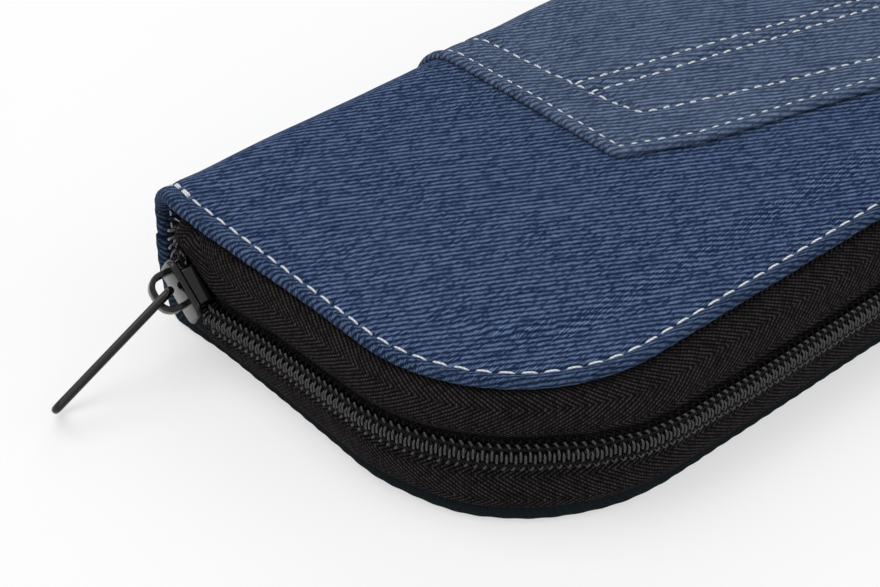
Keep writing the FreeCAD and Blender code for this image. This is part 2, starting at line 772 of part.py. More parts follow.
# The tapes' edges beside the parted chain, as points (y, z) below and above it.
slope = math.tan(math.radians(sizes["slider_tilt"]))
post_y = read(slider_y)
meet_y = post_y - sizes["slider_rise"] / slope
upper_strip_bend = meet_y - sizes["slider_length"] / 2
upper_strip = [
    (read(notch_y), read(mouth_high)),
    (upper_strip_bend, read(mouth_high) - slope * (meet_y - upper_strip_bend) / 2),
    (post_y, read(mouth_high) + slope * (post_y - meet_y) / 2),
    (post_y, read(post_top)),
    (read(notch_y), read(post_top)),
]
lower_strip_low = read(mouth_low) + sizes["post_room"]
lower_strip_end = read(gusset_y) - sizes["post_room"]
lower_strip = [
    (meet_y, lower_strip_low),
    (lower_strip_end, lower_strip_low),
    (lower_strip_end, read(slider_z)),
    (post_y + sizes["slider_gap"], read(slider_z) - sizes["tape"]),
]
feature("lower_coil_run", coil_run(lower_chain, lower_strip))
feature("upper_coil_run", coil_run(upper_chain, upper_strip))
document.recompute()

failed = [
    item.Label
    for item in document.Objects
    if "Invalid" in item.State or "Error" in item.State
]
pieces = [
    item
    for item in document.Objects
    if item.TypeId in ("PartDesign::Body", "Part::Feature")
]
failed += [piece.Label for piece in pieces if piece.Shape.isNull() or not piece.Shape.isValid()]
if failed:
    raise RuntimeError("these did not build: " + ", ".join(failed))

os.makedirs("parts", exist_ok=True)
for piece in pieces:
    piece.Shape.exportStep(f"parts/{piece.Label}.step")
    print(piece.Label, round(piece.Shape.Volume, 1), len(piece.Shape.Solids))
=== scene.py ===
import math
import random

import bpy
from mathutils import Matrix, Vector, noise
from mathutils.geometry import delaunay_2d_cdt


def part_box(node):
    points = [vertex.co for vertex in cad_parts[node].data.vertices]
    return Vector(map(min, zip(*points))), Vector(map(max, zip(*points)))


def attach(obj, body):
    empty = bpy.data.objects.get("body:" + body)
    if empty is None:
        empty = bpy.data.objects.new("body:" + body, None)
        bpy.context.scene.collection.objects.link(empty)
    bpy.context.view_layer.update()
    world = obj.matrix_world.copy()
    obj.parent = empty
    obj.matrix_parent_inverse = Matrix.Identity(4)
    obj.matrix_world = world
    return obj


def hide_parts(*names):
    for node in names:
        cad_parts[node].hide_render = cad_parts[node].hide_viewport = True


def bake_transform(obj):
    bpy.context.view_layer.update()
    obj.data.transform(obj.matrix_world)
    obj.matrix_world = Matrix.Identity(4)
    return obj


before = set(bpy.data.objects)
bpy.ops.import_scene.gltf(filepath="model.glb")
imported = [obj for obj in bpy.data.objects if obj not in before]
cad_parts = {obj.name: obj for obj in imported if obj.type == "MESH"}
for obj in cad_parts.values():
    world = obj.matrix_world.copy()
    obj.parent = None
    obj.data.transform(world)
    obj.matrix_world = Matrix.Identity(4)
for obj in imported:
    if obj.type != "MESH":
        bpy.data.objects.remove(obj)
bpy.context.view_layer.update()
print("frame loaded")

mm = 0.001
up = Vector((0, 0, 1))

# places that come from the frame, in millimetres
coverLow, coverHigh = (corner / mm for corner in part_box("front_cover"))
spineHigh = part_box("spine_cover")[1] / mm
endX = coverHigh.x
frontY = coverLow.y
topZ = coverHigh.z
spineY = spineHigh.y
midZ = topZ / 2


def smoothstep(low, high, value):  # also falls, where low is the larger
    t = min(1, max(0, (value - low) / (high - low)))
    return t * t * (3 - 2 * t)


def bell(value, width):
    return math.exp(-(value / width) ** 2)


def uneven(*place):
    return noise.noise(Vector(place))


def between(table, value, eased=False):  # reads a table of (key, number) pairs
    for (a, first), (b, last) in zip(table, table[1:]):
        if value <= b:
            share = smoothstep(a, b, value) if eased else max(0, value - a) / (b - a)
            return first + (last - first) * share
    return table[-1][1]


def runLengths(line):  # how far along a line each of its points lies
    far = [0.0]
    for a, b in zip(line, line[1:]):
        far.append(far[-1] + math.dist(a, b))
    return far


def quarter(count, last=0):  # directions round a quarter turn
    angles = [math.pi / 2 * i / count for i in range(count + last)]
    return [(math.cos(angle), math.sin(angle)) for angle in angles]


def addMesh(name, points, faces, uvs=None, smooth=True):
    mesh = bpy.data.meshes.new(name)
    mesh.from_pydata([Vector(p) * mm for p in points], [], faces)
    if uvs:
        layer = mesh.uv_layers.new(name="cloth")
        for loop in mesh.loops:
            u, v = uvs[loop.vertex_index]
            layer.data[loop.index].uv = (u * mm, v * mm)
    mesh.validate()
    piece = bpy.data.objects.new(name, mesh)
    bpy.context.collection.objects.link(piece)
    for face in mesh.polygons:
        face.use_smooth = smooth
    return piece


def select(piece):
    bpy.ops.object.select_all(action="DESELECT")
    piece.select_set(True)
    bpy.context.view_layer.objects.active = piece


def thicken(piece, thickness, offset=-1):
    select(piece)
    solid = piece.modifiers.new("thickness", "SOLIDIFY")
    solid.thickness = thickness * mm
    solid.offset = offset
    solid.use_even_offset = False
    bpy.ops.object.modifier_apply(modifier=solid.name)
    return piece


def gridFaces(rows, columns, closed=False, flip=False):
    faces = []
    for i in range(rows - 1):
        for j in range(columns if closed else columns - 1):
            k = (j + 1) % columns
            face = [i * columns + j, i * columns + k, (i + 1) * columns + k, (i + 1) * columns + j]
            faces.append(face[::-1] if flip else face)
    return faces


def fixNormals(piece):
    select(piece)
    bpy.ops.object.mode_set(mode="EDIT")
    bpy.ops.mesh.select_all(action="SELECT")
    bpy.ops.mesh.normals_make_consistent(inside=False)
    bpy.ops.object.mode_set(mode="OBJECT")


def dress(piece, material, ride, replaced=()):
    # the material, the nodes a piece replaces and the body it rides on
    piece.data.materials.append(material)
    if replaced:
        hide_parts(*replaced)
    if callable(ride):
        ride(piece)
    else:
        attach(piece, ride)


# materials
class Value:
    # a shader value: arithmetic with it lays out Math nodes

    def __init__(self, nodes, socket):
        self.nodes = nodes
        self.socket = socket

    def __add__(self, other):
        return self.nodes.math("ADD", self, other)

    def __sub__(self, other):
        return self.nodes.math("SUBTRACT", self, other)

    def __mul__(self, other):
        return self.nodes.math("MULTIPLY", self, other)

    def __truediv__(self, other):
        return self.nodes.math("DIVIDE", self, other)

    def __pow__(self, other):
        return self.nodes.math("POWER", self, other)


class Nodes:
    # a short way to lay out the nodes of a material or the world

    def __init__(self, owner):
        owner.use_nodes = True
        self.owner = owner
        self.tree = owner.node_tree
        self.shader = self.tree.nodes.get("Principled BSDF")

    def put(self, value, socket):
        if isinstance(value, Value):
            self.tree.links.new(value.socket, socket)
        elif isinstance(value, tuple) and len(value) == 3:
            socket.default_value = (*value, 1)
        elif value is not None:
            socket.default_value = value

    def add(self, kind, *values, out=0, **settings):
        node = self.tree.nodes.new("ShaderNode" + kind)
        for key, value in settings.items():
            setattr(node, key, value)
        for socket, value in zip([s for s in node.inputs if s.enabled], values):
            self.put(value, socket)
        return Value(self, [s for s in node.outputs if s.enabled and out in (0, s.name)][0])

    def math(self, operation, *values):
        return self.add("Math", *values, operation=operation)

    def wave(self, turn):  # from 0 to 1 and back, once in each turn of 2 pi
        return self.math("SINE", turn) * 0.5 + 0.5

    def mix(self, share, dark, light):
        return self.add("Mix", share, dark, light, data_type="RGBA")

    def clothPlace(self):  # the flat cloth's own coordinates, in millimetres
        uv = self.add("UVMap", uv_map="cloth")
        return [self.add("SeparateXYZ", uv, out=axis) * 1000.0 for axis in "XY"]

    def speckle(self, scale, detail=2.0):
        place = self.add("TexCoord", out="Object")
        return self.add("TexNoise", place, scale, detail)

    def clothNoise(self, u, v, scaleU, scaleV, detail=2.0):
        place = self.add("CombineXYZ", u * scaleU, v * scaleV)
        return self.add("TexNoise", place, 1.0, detail)

    def chance(self, first, second):  # one random value for each yarn's float
        cell = self.add("CombineXYZ", first, second)
        return self.add("TexWhiteNoise", cell, noise_dimensions="2D")

    def finish(self, colour, roughness, height=None, depth=0.0, strength=1.0, **sockets):
        self.put(colour, self.shader.inputs["Base Color"])
        self.put(roughness, self.shader.inputs["Roughness"])
        for name, value in sockets.items():
            self.shader.inputs[name.replace("_", " ")].default_value = value
        if height is not None:
            bump = self.tree.nodes.new("ShaderNodeBump")
            bump.inputs["Distance"].default_value = depth * mm
            bump.inputs["Strength"].default_value = strength
            self.put(height, bump.inputs["Height"])
            self.tree.links.new(bump.outputs[0], self.shader.inputs["Normal"])
        return self.owner


# a three-over-one twill, in millimetres, and foldShade: the colour of the painted shade in the
# rolled edge's fold
weave = {"weftPitch": 0.55, "warpPitch": 0.317, "float": 4.0, "foldShade": (0.008, 0.012, 0.013)}


def denimMaterial(name, deep, mid, wornAndHighlight, wear):
    # warp yarns run along the cloth's u; each passes over three weft yarns and under one
    n = Nodes(bpy.data.materials.new(name))
    u, v = n.clothPlace()
    waver = n.clothNoise(u, v, 0.30, 0.30) - 0.5
    u = u + waver * 0.9
    v = v + waver * 0.5
    warp = v / weave["warpPitch"]
    row = n.math("FLOOR", warp)
    # each warp yarn's floats start one weft later
    turn = (u / weave["weftPitch"] - row) / weave["float"]
    arch = n.math("SINE", n.math("FRACT", turn) * math.pi)
    arch = n.math("MAXIMUM", arch, 0.0) ** 1.15
    rounding = n.math("SINE", n.math("FRACT", warp) * math.pi) ** 0.8
    height = arch * (rounding * 0.8 + 0.2)
    chance = n.chance(n.math("FLOOR", turn), row)
    slub = n.clothNoise(u, v, 0.16, 2.3)
    fuzz = n.clothNoise(u, v, 2.6, 3.4)
    grain = n.clothNoise(u, v, 1.2, 2.4) - 0.5
    bright = chance * 0.48 + slub * 0.40 + fuzz * 0.6 + grain * 1.8 + 0.24
    # the colour follows the yarns' height: painted shade between the floats, and a painted
    # highlight with some real wear on their crests
    shade = n.add("ValToRGB", (height * 0.85 + 0.15) * bright)
    ramp = shade.socket.node.color_ramp
    ramp.elements.new(0.52)
    for mark, position, colour in zip(ramp.elements, (0.10, 0.52, 0.98), (deep, mid, wornAndHighlight)):
        mark.position = position
        mark.color = (*colour, 1)
    fade = n.math("MAXIMUM", (n.speckle(70.0, 3.0) - 0.44) * wear, 0.0)
    # painted shade: the fold's attribute mixes the colour towards foldShade
    painted_fold_shade = n.add("Attribute", out="Fac", attribute_name="painted_fold_shade")
    colour = n.mix(painted_fold_shade, n.mix(fade, shade, wornAndHighlight), weave["foldShade"])
    return n.finish(colour, 0.95, height + fuzz * 0.6, 0.10, 0.7, Specular_IOR_Level=0.05)


def threadMaterial(name, light, shade, specular=0.3):
    n = Nodes(bpy.data.materials.new(name))
    u, v = n.clothPlace()
    twist = n.wave(u * 9.0 + v * 6.0)
    colour = n.mix(twist, shade, light)
    return n.finish(colour, 0.6, twist, 0.05, 0.6, Specular_IOR_Level=specular)


tapeWeave = {"ribGap": 0.72, "lean": 0.60, "column": 4.2, "yarn": 0.66}


def tapeMaterial(name, dark, light):
    # herringbone: ribs of short floats, which lean the other way in each band along the tape
    n = Nodes(bpy.data.materials.new(name))
    u, v = n.clothPlace()
    v = v + (n.clothNoise(u, v, 0.4, 0.4) - 0.5) * 0.35
    band = n.math("PINGPONG", v, tapeWeave["column"])
    rib = (u * tapeWeave["lean"] + band) / tapeWeave["ribGap"]
    ridge = n.wave(rib * (2 * math.pi)) ** 1.3
    count = n.math("FLOOR", rib)
    dash = (u - band * 0.35) / tapeWeave["yarn"] + count * 0.5
    height = ridge * (n.wave(dash * (2 * math.pi)) * 0.75 + 0.25)
    chance = n.chance(n.math("FLOOR", dash), count)
    colour = n.mix(height * (chance * 0.9 + 0.4), dark, light)
    return n.finish(colour, 0.85, height, 0.18, 1.0, Specular_IOR_Level=0.04)


def plainCloth(name, dark, light, pitch):
    n = Nodes(bpy.data.materials.new(name))
    u, v = n.clothPlace()
    height = n.wave(u * (2 * math.pi / pitch)) * n.wave(v * (2 * math.pi / pitch))
    fuzz = n.clothNoise(u, v, 1.3, 1.3, 3.0)
    colour = n.mix(height * (fuzz + 0.3), dark, light)
    return n.finish(colour, 0.75, height, 0.08, 0.6, Sheen_Weight=0.15)


def glossMaterial(name, colour, roughness, coat, specular):
    n = Nodes(bpy.data.materials.new(name))
    dents = n.speckle(900.0, 2.0)
    rough = n.speckle(260.0, 3.0) * 0.16 + (roughness - 0.08)
    return n.finish(
        colour, rough, dents, 0.01, 0.25, Coat_Weight=coat, Coat_Roughness=0.08,
        Specular_IOR_Level=specular,
    )


denim = denimMaterial(
    "dark_denim", (0.004, 0.009, 0.032), (0.016, 0.032, 0.084), (0.135, 0.20, 0.33), 0.10
)
patchDenim = denimMaterial(
    "faded_denim", (0.014, 0.024, 0.052), (0.040, 0.062, 0.118), (0.17, 0.23, 0.34), 0.40
)
whiteThread = threadMaterial("white_thread", (0.86, 0.87, 0.88), (0.50, 0.52, 0.56))
blackThread = threadMaterial("black_thread", (0.008, 0.008, 0.008), (0.002, 0.002, 0.002), 0.05)
blackTape = tapeMaterial("black_tape", (0.0014, 0.0012, 0.0013), (0.055, 0.047, 0.049))
coilNylon = glossMaterial("coil_nylon", (0.014, 0.014, 0.014), 0.24, 0.2, 0.4)
blackMetal = glossMaterial("black_metal", (0.004, 0.004, 0.004), 0.14, 0.15, 0.22)
liningCloth = plainCloth("lining_cloth", (0.008, 0.008, 0.009), (0.040, 0.041, 0.045), 0.5)
bindingCloth = plainCloth("binding_cloth", (0.006, 0.006, 0.006), (0.030, 0.030, 0.031), 0.6)
elasticCloth = plainCloth("elastic_cloth", (0.006, 0.006, 0.007), (0.05, 0.05, 0.052), 0.9)
foamRubber = plainCloth("grey_foam", (0.07, 0.07, 0.076), (0.15, 0.15, 0.16), 1.3)
print("materials")

# the denim, cut as one cloth that wraps round the spine and is turned in all round its edge
cloth = {
    "cornerRadius": 35.2,
    "spineRound": 9.5,
    "endSetBack": 2.4,  # how far the spine's ends stand back from the short ends
    "setBackFrom": 4.0,
    "setBackTo": 21.0,
    "stitchInset": 3.75,
    "stitch": 3.5,
    "stepsPerStitch": 6,
    "stitchLevel": {1: -0.12, -1: -0.42},  # over the panel, front and back
    "bobbinStitches": 6,
    "bobbinInset": 2.6,
    "bobbinLevel": -2.45,
    "doubled": (6, 5),  # the stitches beside the spine that were sewn twice
    "thickness": 0.85,
    "lip": 0.7,
    "grid": 3.0,
    "gridFine": 1.0,
}
spineHalf = midZ - cloth["spineRound"]
arcLength = cloth["spineRound"] * math.pi / 2
flatFrom = spineHalf + arcLength
clothEnd = flatFrom + spineY - cloth["spineRound"] - frontY
cornerU = endX - cloth["cornerRadius"]  # the middle of the outline's rounded corner
cornerV = clothEnd - cloth["cornerRadius"]


def wrapPoint(u, v, height, side=1):
    # u along the case, v round it from the middle of the spine, both on the flat cloth
    turn = cloth["spineRound"]
    if v < spineHalf:
        return Vector((u, spineY + height, midZ + side * v))
    if v < flatFrom:
        angle = (v - spineHalf) / turn
        y = spineY - turn + (turn + height) * math.cos(angle)
        return Vector((u, y, midZ + side * (spineHalf + (turn + height) * math.sin(angle))))
    return Vector((u, spineY - turn - (v - flatFrom), midZ + side * (midZ + height)))


def flatV(y):  # a place of the flat panels, on the flat cloth
    return flatFrom + spineY - cloth["spineRound"] - y


def setBack(v):  # how far the cloth's end stands back there
    return cloth["endSetBack"] * (1 - smoothstep(cloth["setBackFrom"], cloth["setBackTo"], v))


def halfEdge(step=0.2):
    # the cloth's edge from the far end's middle of the spine round to the near end's
    radius = cloth["cornerRadius"]
    count = int(cornerV / step)
    side = [(endX - setBack(cornerV * i / count), cornerV * i / count) for i in range(count)]
    for across, along in quarter(int(radius * math.pi / 2 / step)):
        side.append((cornerU + radius * across, cornerV + radius * along))
    count = int(cornerU / step)
    side += [(cornerU * (1 - i / count), clothEnd) for i in range(count)]
    return side + [(0.0, clothEnd)] + [(-u, v) for u, v in reversed(side)]


def inwards(path, i):
    if i in (0, len(path) - 1):  # the halves meet here, so the seam stays square
        return (-1.0, 0.0) if path[i][0] > 0 else (1.0, 0.0)
    a, b = path[i - 1], path[i + 1]
    size = math.dist(a, b)
    return ((a[1] - b[1]) / size, (b[0] - a[0]) / size)


def evenRays(path, inset, pitch, perPitch):
    # rays in from the edge, evenly spaced where they cross the line of stitches
    normals = [inwards(path, i) for i in range(len(path))]
    far = runLengths([(p[0] + n[0] * inset, p[1] + n[1] * inset) for p, n in zip(path, normals)])
    stitches = round(far[-1] / pitch)
    count = stitches * perPitch
    rays = []
    j = 0
    for i in range(count + 1):
        s = far[-1] * i / count
        while j < len(far) - 2 and far[j + 1] < s:
            j += 1
        t = (s - far[j]) / (far[j + 1] - far[j])
        point, normal = (
            [line[j][k] + (line[j + 1][k] - line[j][k]) * t for k in (0, 1)]
            for line in (path, normals)
        )
        size = math.hypot(*normal)
        rays.append((point, (normal[0] / size, normal[1] / size)))
    return rays, stitches


# the rolled edge's skin from the raw edge inside, round the fold and in over the line of
# stitches: (distance in from the edge, height over the panel, share of the pucker)
hemSkin = [
    (5.2, -2.35, 0), (3.4, -2.40, 0), (1.6, -2.40, 0), (0.75, -2.22, 0.1), (0.25, -1.80, 0.3),
    (0.0, -1.25, 0.4), (0.10, -0.75, 0.5), (0.40, -0.30, 0.6), (0.90, -0.04, 0.7),
    (1.55, 0.10, 0.8), (2.30, 0.10, 0.9), (2.95, -0.02, 1), (3.40, -0.20, 1), (3.75, -0.34, 1),
    (4.10, -0.22, 1), (4.60, -0.06, 0.9), (5.30, 0.06, 0.7), (6.20, 0.10, 0.4), (7.60, 0.08, 0.2),
    (9.50, 0.04, 0.1), (12.0, 0.02, 0),
]
edgeRow = 5  # the row at the very edge

# how far the real seams stray from an even outline, in millimetres
# (the tables: degrees round the corner, or millimetres before and after it, and the shift out)
stray = {
    "frontHemNear": 0.5,
    "frontHem": 2.0,
    "backHem": [(-20, -0.9), (15, -0.4), (40, 0.8), (60, 1.1), (82, 1.5), (95, 1.7)],
    "chain": [
        (-34, 0.0), (-16, -1.0), (0, -1.1), (40, -1.6), (58, -1.5), (70, -0.4), (82, 0.9),
        (95, 1.7), (108, 2.1), (153, 1.9),
    ],
}


def cornerTurn(x, y, endRun, frontRun):
    # how far round the near or far corner a place of the outline lies
    dx, dy = abs(x) - endRun, frontRun - y
    if dx <= 0:
        return 90 - dx
    if dy <= 0:
        return dy
    return math.degrees(math.atan2(dy, dx))


def chainShift(x, y):
    return between(stray["chain"], cornerTurn(x, y, cornerX, cornerY), True)


def seamShift(side, u, v):
    # how far the hem's edge lies in from the outline
    if side > 0:
        bend = smoothstep(24, 62, v)
        return stray["frontHemNear"] + (stray["frontHem"] - stray["frontHemNear"]) * bend
    return -between(stray["backHem"], cornerTurn(u, -v, cornerU, -cornerV), True) * smoothstep(
        16, 34, v
    )


def panelHeight(u, v, side):
    # the padded panel is a little crowned and never quite flat
    inset = min(endX - abs(u), clothEnd - v)
    soft = uneven(u * 0.045, v * 0.05, 3.1) * 0.22 + uneven(u * 0.13, v * 0.15, 7.7) * 0.06
    height = 0.22 * smoothstep(8, 34, inset) + soft * smoothstep(5, 12, inset)
    if side < 0 and v > flatFrom:
        height = min(height, 0.0) * 0.4
    return height


def offFloor(v, height):  # keeps the back cover's cloth above what the case lies on
    turn = cloth["spineRound"]
    rise = math.sin(min(math.pi / 2, max(0.1, (v - spineHalf) / turn)))
    return min(height, (turn * (1 - rise) - 0.03) / rise)


def denimHalf(name, side):
    perStitch = cloth["stepsPerStitch"]
    rays, stitches = evenRays(halfEdge(), cloth["stitchInset"], cloth["stitch"], perStitch)
    lengths = runLengths([place[:2] for place in hemSkin])
    points, uvs = [], []
    columns = len(rays)
    for row, (inset, level, pucker) in enumerate(hemSkin):
        length = lengths[row] - lengths[edgeRow]
        if side < 0 and row <= edgeRow:  # the lip of the fold stands up in front of the tape
            level -= cloth["lip"] * bell(inset - 0.8, 0.9)
        for i, ((u, v), (nu, nv)) in enumerate(rays):
            wave = math.cos(2 * math.pi * i / perStitch)  # 1 at each needle hole
            jitter = 0.10 * uneven(i * 0.11, length * 0.3, side * 5.0)
            drop = pucker * (jitter - 0.17 * wave * bell(inset - cloth["stitchInset"], 1.3))
            if side > 0:
                fade = 1 - min(1.0, inset / cloth["stitchInset"])
            else:
                fade = 1 - smoothstep(2, 12, inset)
            reach = inset + 0.07 * wave * bell(inset, 1.2) + jitter * bell(inset, 1.5)
            reach += seamShift(side, u, v) * fade
            placeU, placeV = u + nu * reach, v + nv * reach
            h = level + drop + panelHeight(placeU, placeV, side) * smoothstep(2.5, 9.5, length)
            if side < 0:
                h = offFloor(placeV, h)
            points.append(wrapPoint(placeU, max(0.0, placeV), h, side))
            uvs.append((u + nu * length, (v + nv * length) * side))
    faces = gridFaces(len(hemSkin), columns, flip=side > 0)
    fillPanel(points, uvs, faces, columns, side)
    piece = addMesh(name, points, faces, uvs)
    # painted shade in the rolled edge's fold, darkest on the back cover under the case
    fold = piece.data.attributes.new("painted_fold_shade", "FLOAT", "POINT")
    for i in range(len(hemSkin) * columns):
        deep = 0.45 + (0.53 if side < 0 else -0.25) * smoothstep(0, 26, rays[i % columns][0][1])
        fold.data[i].value = deep * (1 - smoothstep(edgeRow + 1, edgeRow + 7, i // columns))
    return piece, rays, stitches


def fillFlat(points, uvs, faces, fill, rim, start, height, side):
    # triangles inside the last row of points, which begins at start and comes first in fill
    count = len(points) - start
    result = delaunay_2d_cdt(fill, [], [list(range(rim))], 1, 1e-4)
    index = {}
    for k, (place, origin) in enumerate(zip(result[0], result[3])):
        first = origin[0] if origin else count
        if first < count:
            index[k] = start + first
            continue
        index[k] = len(points)
        v = max(0.0, place.y)
        points.append(wrapPoint(place.x, v, height(place.x, v), side))
        uvs.append((place.x, place.y * side))
    for triangle in result[2]:
        face = [index[k] for k in triangle]
        faces.append(face[::-1] if side > 0 else face)


def fillPanel(points, uvs, faces, columns, side):
    # the panel inside the last row, over a grid that is finer round the spine
    start = len(points) - columns
    fill = [Vector((u, v * side)) for u, v in uvs[start:]]
    right, left = fill[0].x, fill[-1].x
    count = int((right - left) / cloth["grid"])
    us = [left + (right - left) * i / count for i in range(1, count)]
    fill += [Vector((u, 0.0)) for u in us]
    rim = len(fill)
    v = cloth["gridFine"]
    while v < clothEnd:
        fill += [Vector((u, v)) for u in us if inPanel(u, v)]
        v += cloth["gridFine"] if v < flatFrom + 2 else cloth["grid"]

    def height(u, v):
        level = hemSkin[-1][1] + panelHeight(u, v, side)
        return level if side > 0 else offFloor(v, level)

    fillFlat(points, uvs, faces, fill, rim, start, height, side)


def inPanel(u, v, margin=1.3):
    # whether a grid point lies well inside the last row of the rolled edge
    inset = hemSkin[-1][0] + margin
    if abs(u) > endX - setBack(v) - inset or v > clothEnd - inset:
        return False
    du, dv = abs(u) - cornerU, v - cornerV
    return not (du > 0 and dv > 0 and math.hypot(du, dv) > cloth["cornerRadius"] - inset)


def foldRide():
    # bakes the piece's placing into its mesh; it rides on no body
    def ride(piece):
        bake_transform(piece)

    return ride


rideFront = foldRide()
rideBack = foldRide()


def addTube(skin, points, frames, sizes, sides, turn=0.5, far=0.0):
    # adds a tube to a skin: frames give two directions across it at every point
    rings, faces, uvs = skin
    start = len(rings)
    for i, (place, (first, second), (a, b)) in enumerate(zip(points, frames, sizes)):
        if i:
            far += (place - points[i - 1]).length
        for k in range(sides):
            angle = 2 * math.pi * (k + turn) / sides
            rings.append(place + first * (a * math.cos(angle)) + second * (b * math.sin(angle)))
            uvs.append((far, k / sides * 1.8))
    for i in range(len(points) - 1):
        a, b = start + i * sides, start + (i + 1) * sides
        for k in range(sides):
            m = (k + 1) % sides
            faces.append([a + k, b + k, b + m, a + m])
    last = len(rings) - sides
    faces.append([start + k for k in range(sides)])
    faces.append([last + k for k in reversed(range(sides))])


def stitchRow(name, places, material, width=0.18, gap=0.95, lift=0.22):
    # one short arch of thread for each stitch: places are lists of points from hole to hole
    skin = [], [], []
    steps = 8
    for line, outward in places:
        far = runLengths(line)
        centres, frames, sizes = [], [], []
        j = 0
        for i in range(steps + 1):
            t = i / steps
            s = gap / 2 + t * (far[-1] - gap)
            while far[j + 1] < s and j < len(line) - 2:
                j += 1
            a, b = line[j], line[j + 1]
            bulge = math.sin(math.pi * t)
            blunt = math.sqrt(max(0.0, 1 - abs(2 * t - 1) ** 6))
            size = width * (0.22 + 0.78 * blunt) * (0.92 + 0.1 * bulge)
            centre = a.lerp(b, min(1.0, (s - far[j]) / (far[j + 1] - far[j])))
            centres.append(centre + outward * (lift * bulge ** 0.5 - 0.12))
            frames.append(((b - a).cross(outward).normalized(), outward))
            sizes.append((size * 1.15, size * 0.85))
        addTube(skin, centres, frames, sizes, 7, 0.0, gap / 2)
    piece = addMesh(name, *skin)
    piece.data.materials.append(material)
    return piece


def edgeStitches(rays, side, inset, height, first, last, turned=1):
    # stitches along the rolled edge, from needle hole to needle hole
    per = cloth["stepsPerStitch"]
    places = []
    chance = random.Random(11 + side)
    for i in range(first, last):
        line = []
        for j, ((u, v), (nu, nv)) in enumerate(rays[i * per : (i + 1) * per + 1]):
            reach = inset + chance.uniform(-0.05, 0.05) + 0.16 * (j / per - 0.5)
            place = (u + nu * reach, max(0.0, v + nv * reach))
            line.append(wrapPoint(*place, height, side))
            if j == per // 2:
                outward = (wrapPoint(*place, height + turned, side) - line[-1]).normalized()
        places.append((line, outward))
    return places


def makeDenim(name, side, ride, replaced):
    piece, rays, stitches = denimHalf(name + "_denim", side)
    thicken(piece, cloth["thickness"])
    dress(piece, denim, ride, replaced)
    flat = ((2 * endX + 16) * mm, (clothEnd + 8) * mm)
    inset, level = cloth["stitchInset"], cloth["stitchLevel"][side]
    outer = edgeStitches(rays, side, inset, level, 0, stitches)
    if side > 0:
        first, last = (stitches - n for n in cloth["doubled"])
        outer += edgeStitches(rays, side, inset + 0.35, level + 0.08, first, last + 1)
    ride(stitchRow(name + "_topstitch", outer, whiteThread))
    # the bobbin thread shows on the hem's inner face where the spine ends
    bobbin = []
    ends = cloth["bobbinStitches"]
    inset, level = cloth["bobbinInset"], cloth["bobbinLevel"]
    for first, last in ((0, ends), (stitches - ends, stitches)):
        bobbin += edgeStitches(rays, side, inset, level, first, last, -1)
    ride(stitchRow(name + "_bobbin_thread", bobbin, whiteThread, width=0.14, gap=1.3))
    print(name, "denim", len(piece.data.polygons))


makeDenim("front", 1, rideFront, ["front_cover", "spine_cover"])
makeDenim("back", -1, rideBack, ["back_cover"])


# the zipper line, measured from its stop at the far end round to the slider
line = {
    "radius": 37.0,
    "pitch": 1.45,
    "stopY": 35.5,
    "sliderY": 29.3,
    "sliderZ": 14.9,
    "sliderTilt": 39.0,
    "sliderHalf": 5.5,
    "postStart": 1.4,
}
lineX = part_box("lower_coil")[1][0] / mm - 1.1
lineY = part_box("lower_coil")[0][1] / mm + 1.1
cornerX = lineX - line["radius"]
cornerY = lineY + line["radius"]
tilt = math.radians(line["sliderTilt"])


def atSlider(a, t):  # (y, z) of a point along and across the slider
    y = line["sliderY"] + a * math.cos(tilt) - t * math.sin(tilt)
    return y, line["sliderZ"] + a * math.sin(tilt) + t * math.cos(tilt)


tailAt = atSlider(-line["sliderHalf"], 0)
# the parted coils beyond the slider's post, as (x, y, z)
upperPart = [
    (-100.0, 32.6, 18.6), (-99.4, 34.8, 19.6), (-98.4, 36.2, 21.2), (-97.6, 37.0, 23.2),
    (-97.0, 37.4, 25.0),
]
lowerPart = [
    (-100.0, 34.2, 16.7), (-98.8, 35.6, 17.2), (-97.2, 37.2, 16.4), (-96.5, 38.0, 14.2),
    (-96.3, 38.2, 9.0), (-96.0, 38.2, 4.2), (-95.2, 38.0, 2.4),
]


def chainLevel(y):  # the closed chain slopes down to the slider's tail
    share = min(1.0, max(0.0, (y - cornerY) / (tailAt[0] - cornerY)))
    return midZ + (tailAt[1] - midZ) * share


def smoothLine(points, rounds=3):  # corners cut off a few times
    for _ in range(rounds):
        cut = [points[0]]
        for a, b in zip(points, points[1:]):
            cut += [a.lerp(b, 0.25), a.lerp(b, 0.75)]
        points = cut + [points[-1]]
    return points


def outwards(x, y, out, radius=0.0):  # a place on the chain's own, less even line
    place = Vector((x, y, midZ)) + out * radius
    return place + out * chainShift(place.x, place.y)


def coilLine(part, step=0.25):
    # points with their outward directions, from the far stop to the parted end
    far, front, near = Vector((1, 0, 0)), Vector((0, -1, 0)), Vector((-1, 0, 0))
    points = []
    y = line["stopY"]
    while y > cornerY:
        points.append((outwards(lineX, y, far), far))
        y -= step
    bend = quarter(int(line["radius"] * math.pi / 2 / step))
    for across, along in bend:
        out = Vector((across, -along, 0))
        points.append((outwards(cornerX, cornerY, out, line["radius"]), out))
    x = cornerX
    while x > -cornerX:
        points.append((outwards(x, lineY, front), front))
        x -= step
    for across, along in bend:
        out = Vector((-along, -across, 0))
        points.append((outwards(-cornerX, cornerY, out, line["radius"]), out))
    run = [outwards(-lineX, cornerY, near)]
    for y in (-5, 0, 5, 10, 15, 20):
        run.append(Vector((outwards(-lineX, y, near).x, y, chainLevel(y))))
    run += [Vector((-lineX, *atSlider(a, 0))) for a in (-6.5, -4.0, -1.0, line["postStart"])]
    rounded = smoothLine(run + [Vector(p) for p in part])
    for a, b in zip(rounded, rounded[1:]):
        count = max(1, round((b - a).length / step))
        points += [(a.lerp(b, i / count), near) for i in range(count)]
    points.append((rounded[-1], near))
    return points


